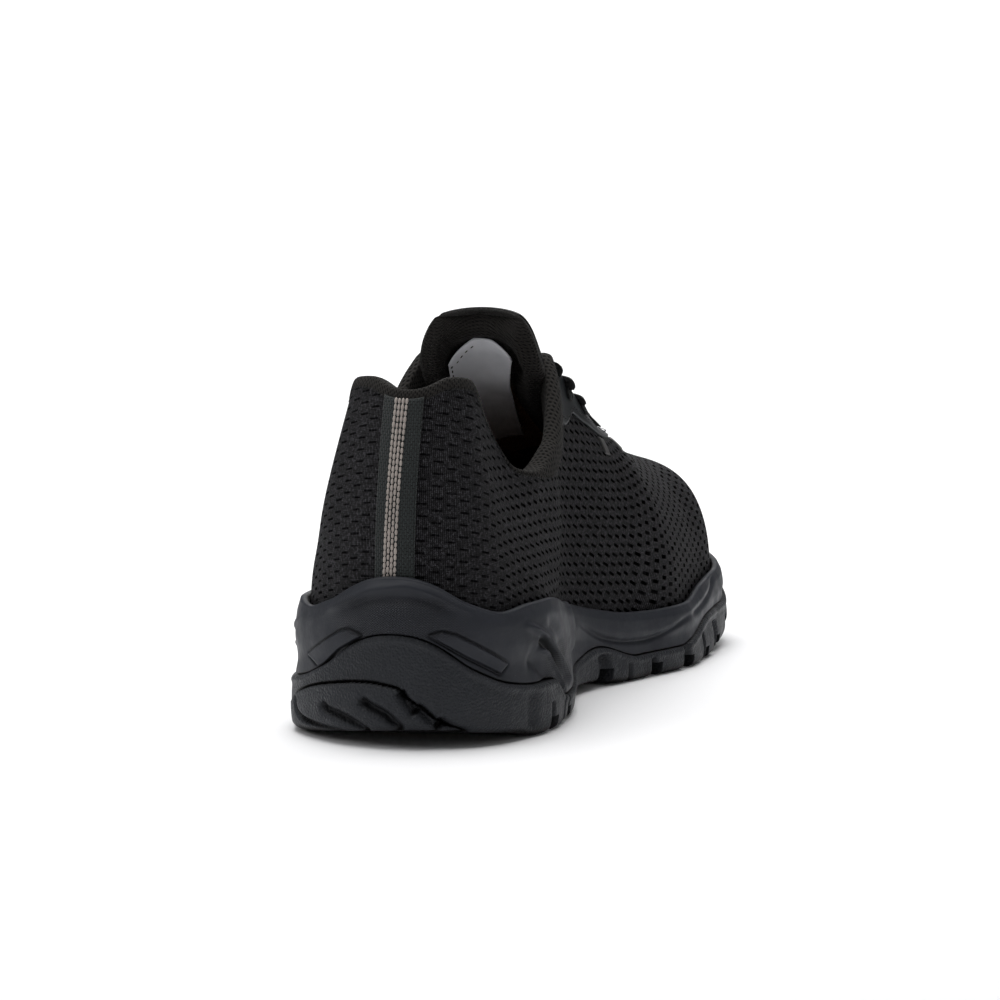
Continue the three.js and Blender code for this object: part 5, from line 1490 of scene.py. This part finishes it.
# Insole
def makeInsole():
    turns = np.arange(160) / 160
    seat = seatAt(placeOf(turns)[0]) + shoe["gap"]
    loops = []
    for lift, inset in ((0, 1.5), (2.2, 0.6), (4.0, 0.5), (4.5, 1.1)):
        z = seat + lift
        ring = upperOut(turns, ribAtHeight(turns, z), np.full_like(turns, -shoe["wall"] - shoe["gap"] - inset))
        ring[:, 2] = z
        loops.append(ring)
    loops = np.stack(loops, 1)
    top = loops[:, -1]
    count = len(turns)
    rungs = 24
    other = top[(count - np.arange(count)) % count]
    centre = (top + other) / 2
    rings = [loops]
    for k in np.linspace(0, 1, rungs)[1:]:
        ring = mix(top, centre, k)
        ring[:, 2] -= 1.2 * math.sin(math.pi * k * 0.5)
        rings.append(ring[:, None])
    grid = np.concatenate(rings, 1)
    uv = grid[..., :2].reshape(-1, 2)
    return meshFrom("footbed", grid.reshape(-1, 3), gridFaces(count, grid.shape[1], closeRows=True), uv)


finishPiece(makeInsole(), finishes["insole"], ["insole"])


# Stitches: round the eyestays, under the collar and round the label
def stitchesOnUpper(name, turns, ribs, off=0.35, length=1.7, spacing=2.4, width=0.55):
    turns, ribs = np.asarray(turns, float), np.asarray(ribs, float)
    points = upperOut(turns, ribs, np.full_like(turns, off))
    return beadPiece(name, [points], [upperNormal(turns, ribs)], spacing, length, width, 0.4, finishes["thread"])


beadPiece("stitch_collar", [collarSeam], [upperNormal(collarTurns, 0.95 + 0 * collarTurns)], 1.9, 1.5, 0.6, 0.4, finishes["thread"])
for side, name in ((1, "inner"), (-1, "outer")):
    at = np.linspace(shoe["throatStart"] + 0.01, shoe["throatEnd"] - 0.006, 120)
    turns = turnAt(at, side)
    stitchesOnUpper(f"stitch_eyestay_{name}", turns, ribBelowEdge(turns, bandAt(at) - 2), 1.6)


# Small stitches down the label's left edge and along its slanted top.
def labelStitches():
    rows, facings = [], []
    for u, v in ((np.full(30, -14.7), np.linspace(0.06, 0.9, 30)), (np.linspace(-14.7, -5, 20), np.full(20, 0.06))):
        point = labelPoint(u, v, np.full_like(u, 0.55))
        rows.append(point)
        facings.append(unit(point - labelPoint(u, v, np.full_like(u, -0.5))))
    return beadPiece("stitch_label", rows, facings, 2.4, 1.4, 0.45, 0.3, finishes["thread"])


labelStitches()
print("small pieces made")

# Camera at the photograph's angle
viewCamera = dict(azimuth=15.8493, elevation=6.0988, distance=1212.46, focal=3369.98, centreX=521.92, centreY=514.77, target=60)


def placeCamera():
    v = viewCamera
    a, e = math.radians(v["azimuth"]), math.radians(v["elevation"])
    back = np.array([math.sin(a) * math.cos(e), -math.cos(a) * math.cos(e), math.sin(e)])
    right = np.array([math.cos(a), math.sin(a), 0])
    up = np.cross(back, right)
    target = np.array([0, 0, v["target"]]) + shift
    place = (target + back * v["distance"]) * mm
    data = bpy.data.cameras.new("camera")
    data.sensor_width = 36
    data.lens = v["focal"] * 36 / 1000
    data.shift_x = (500 - v["centreX"]) / 1000
    data.shift_y = (v["centreY"] - 500) / 1000
    data.clip_start = 0.05
    made = bpy.data.objects.new("camera", data)
    matrix = np.eye(4)
    matrix[:3, 0], matrix[:3, 1], matrix[:3, 2], matrix[:3, 3] = right, up, back, place
    from mathutils import Matrix

    made.matrix_world = Matrix(matrix.tolist())
    bpy.context.scene.collection.objects.link(made)
    bpy.context.scene.camera = made
    return right, up, back, target


right, upWay, back, target = placeCamera()


# Floor and light
# A pale floor that sweeps up into a wall behind the shoe.
def makeFloor():
    flatBack = unit(np.array([back[0], back[1], 0]))
    near, far, rise, bend, half = 3.0, 0.9, 2.4, 0.5, 0.46
    profile = [(near, 0), (-far, 0)]
    profile += [(-far - bend * math.sin(k), bend * (1 - math.cos(k))) for k in np.linspace(0, math.pi / 2, 17)[1:]]
    profile.append((-far - bend, rise))
    points = [flatBack * d + right * s + np.array([0, 0, z]) for d, z in profile for s in (-half, half)]
    faces = [(2 * i, 2 * i + 1, 2 * i + 3, 2 * i + 2) for i in range(len(profile) - 1)]
    data = bpy.data.meshes.new("floor")
    data.from_pydata([tuple(p) for p in points], [], faces)
    data.polygons.foreach_set("use_smooth", np.full(len(faces), True))
    made = bpy.data.objects.new("floor", data)
    bpy.context.scene.collection.objects.link(made)
    material, tree, shader = newMaterial("pale_floor", 0.8, 0.2)
    shader.inputs["Base Color"].default_value = linear("f4f4f5")
    data.materials.append(material)
    return made


makeFloor()


# A soft box placed by the camera's own directions, aimed at the shoe.
def areaLight(name, sideways, upwards, towards, size, power, tilt=0.0):
    from mathutils import Vector

    data = bpy.data.lights.new(name, "AREA")
    data.shape = "SQUARE"
    data.size = size
    data.energy = power
    made = bpy.data.objects.new(name, data)
    flatBack = unit(np.array([back[0], back[1], 0]))
    place = target * mm + right * sideways + np.array([0, 0, 1]) * upwards + flatBack * towards
    made.location = place
    aim = Vector(target * mm + flatBack * tilt - place)
    made.rotation_euler = aim.to_track_quat("-Z", "Y").to_euler()
    bpy.context.scene.collection.objects.link(made)
    return made


areaLight("top", -0.2, 1.5, 0.1, 1.3, 18)
areaLight("wall", 0.0, 1.5, -0.9, 1.8, 27, tilt=-1.4)
areaLight("left", -1.3, 0.9, 0.5, 0.8, 5)
areaLight("right", 1.4, 0.9, 0.7, 0.8, 1)
world = bpy.data.worlds.new("studio")
world.use_nodes = True
world.node_tree.nodes["Background"].inputs["Color"].default_value = linear("fafafa")
world.node_tree.nodes["Background"].inputs["Strength"].default_value = 0.16
bpy.context.scene.world = world
bpy.context.scene.view_settings.view_transform = "Standard"
print("stage made")
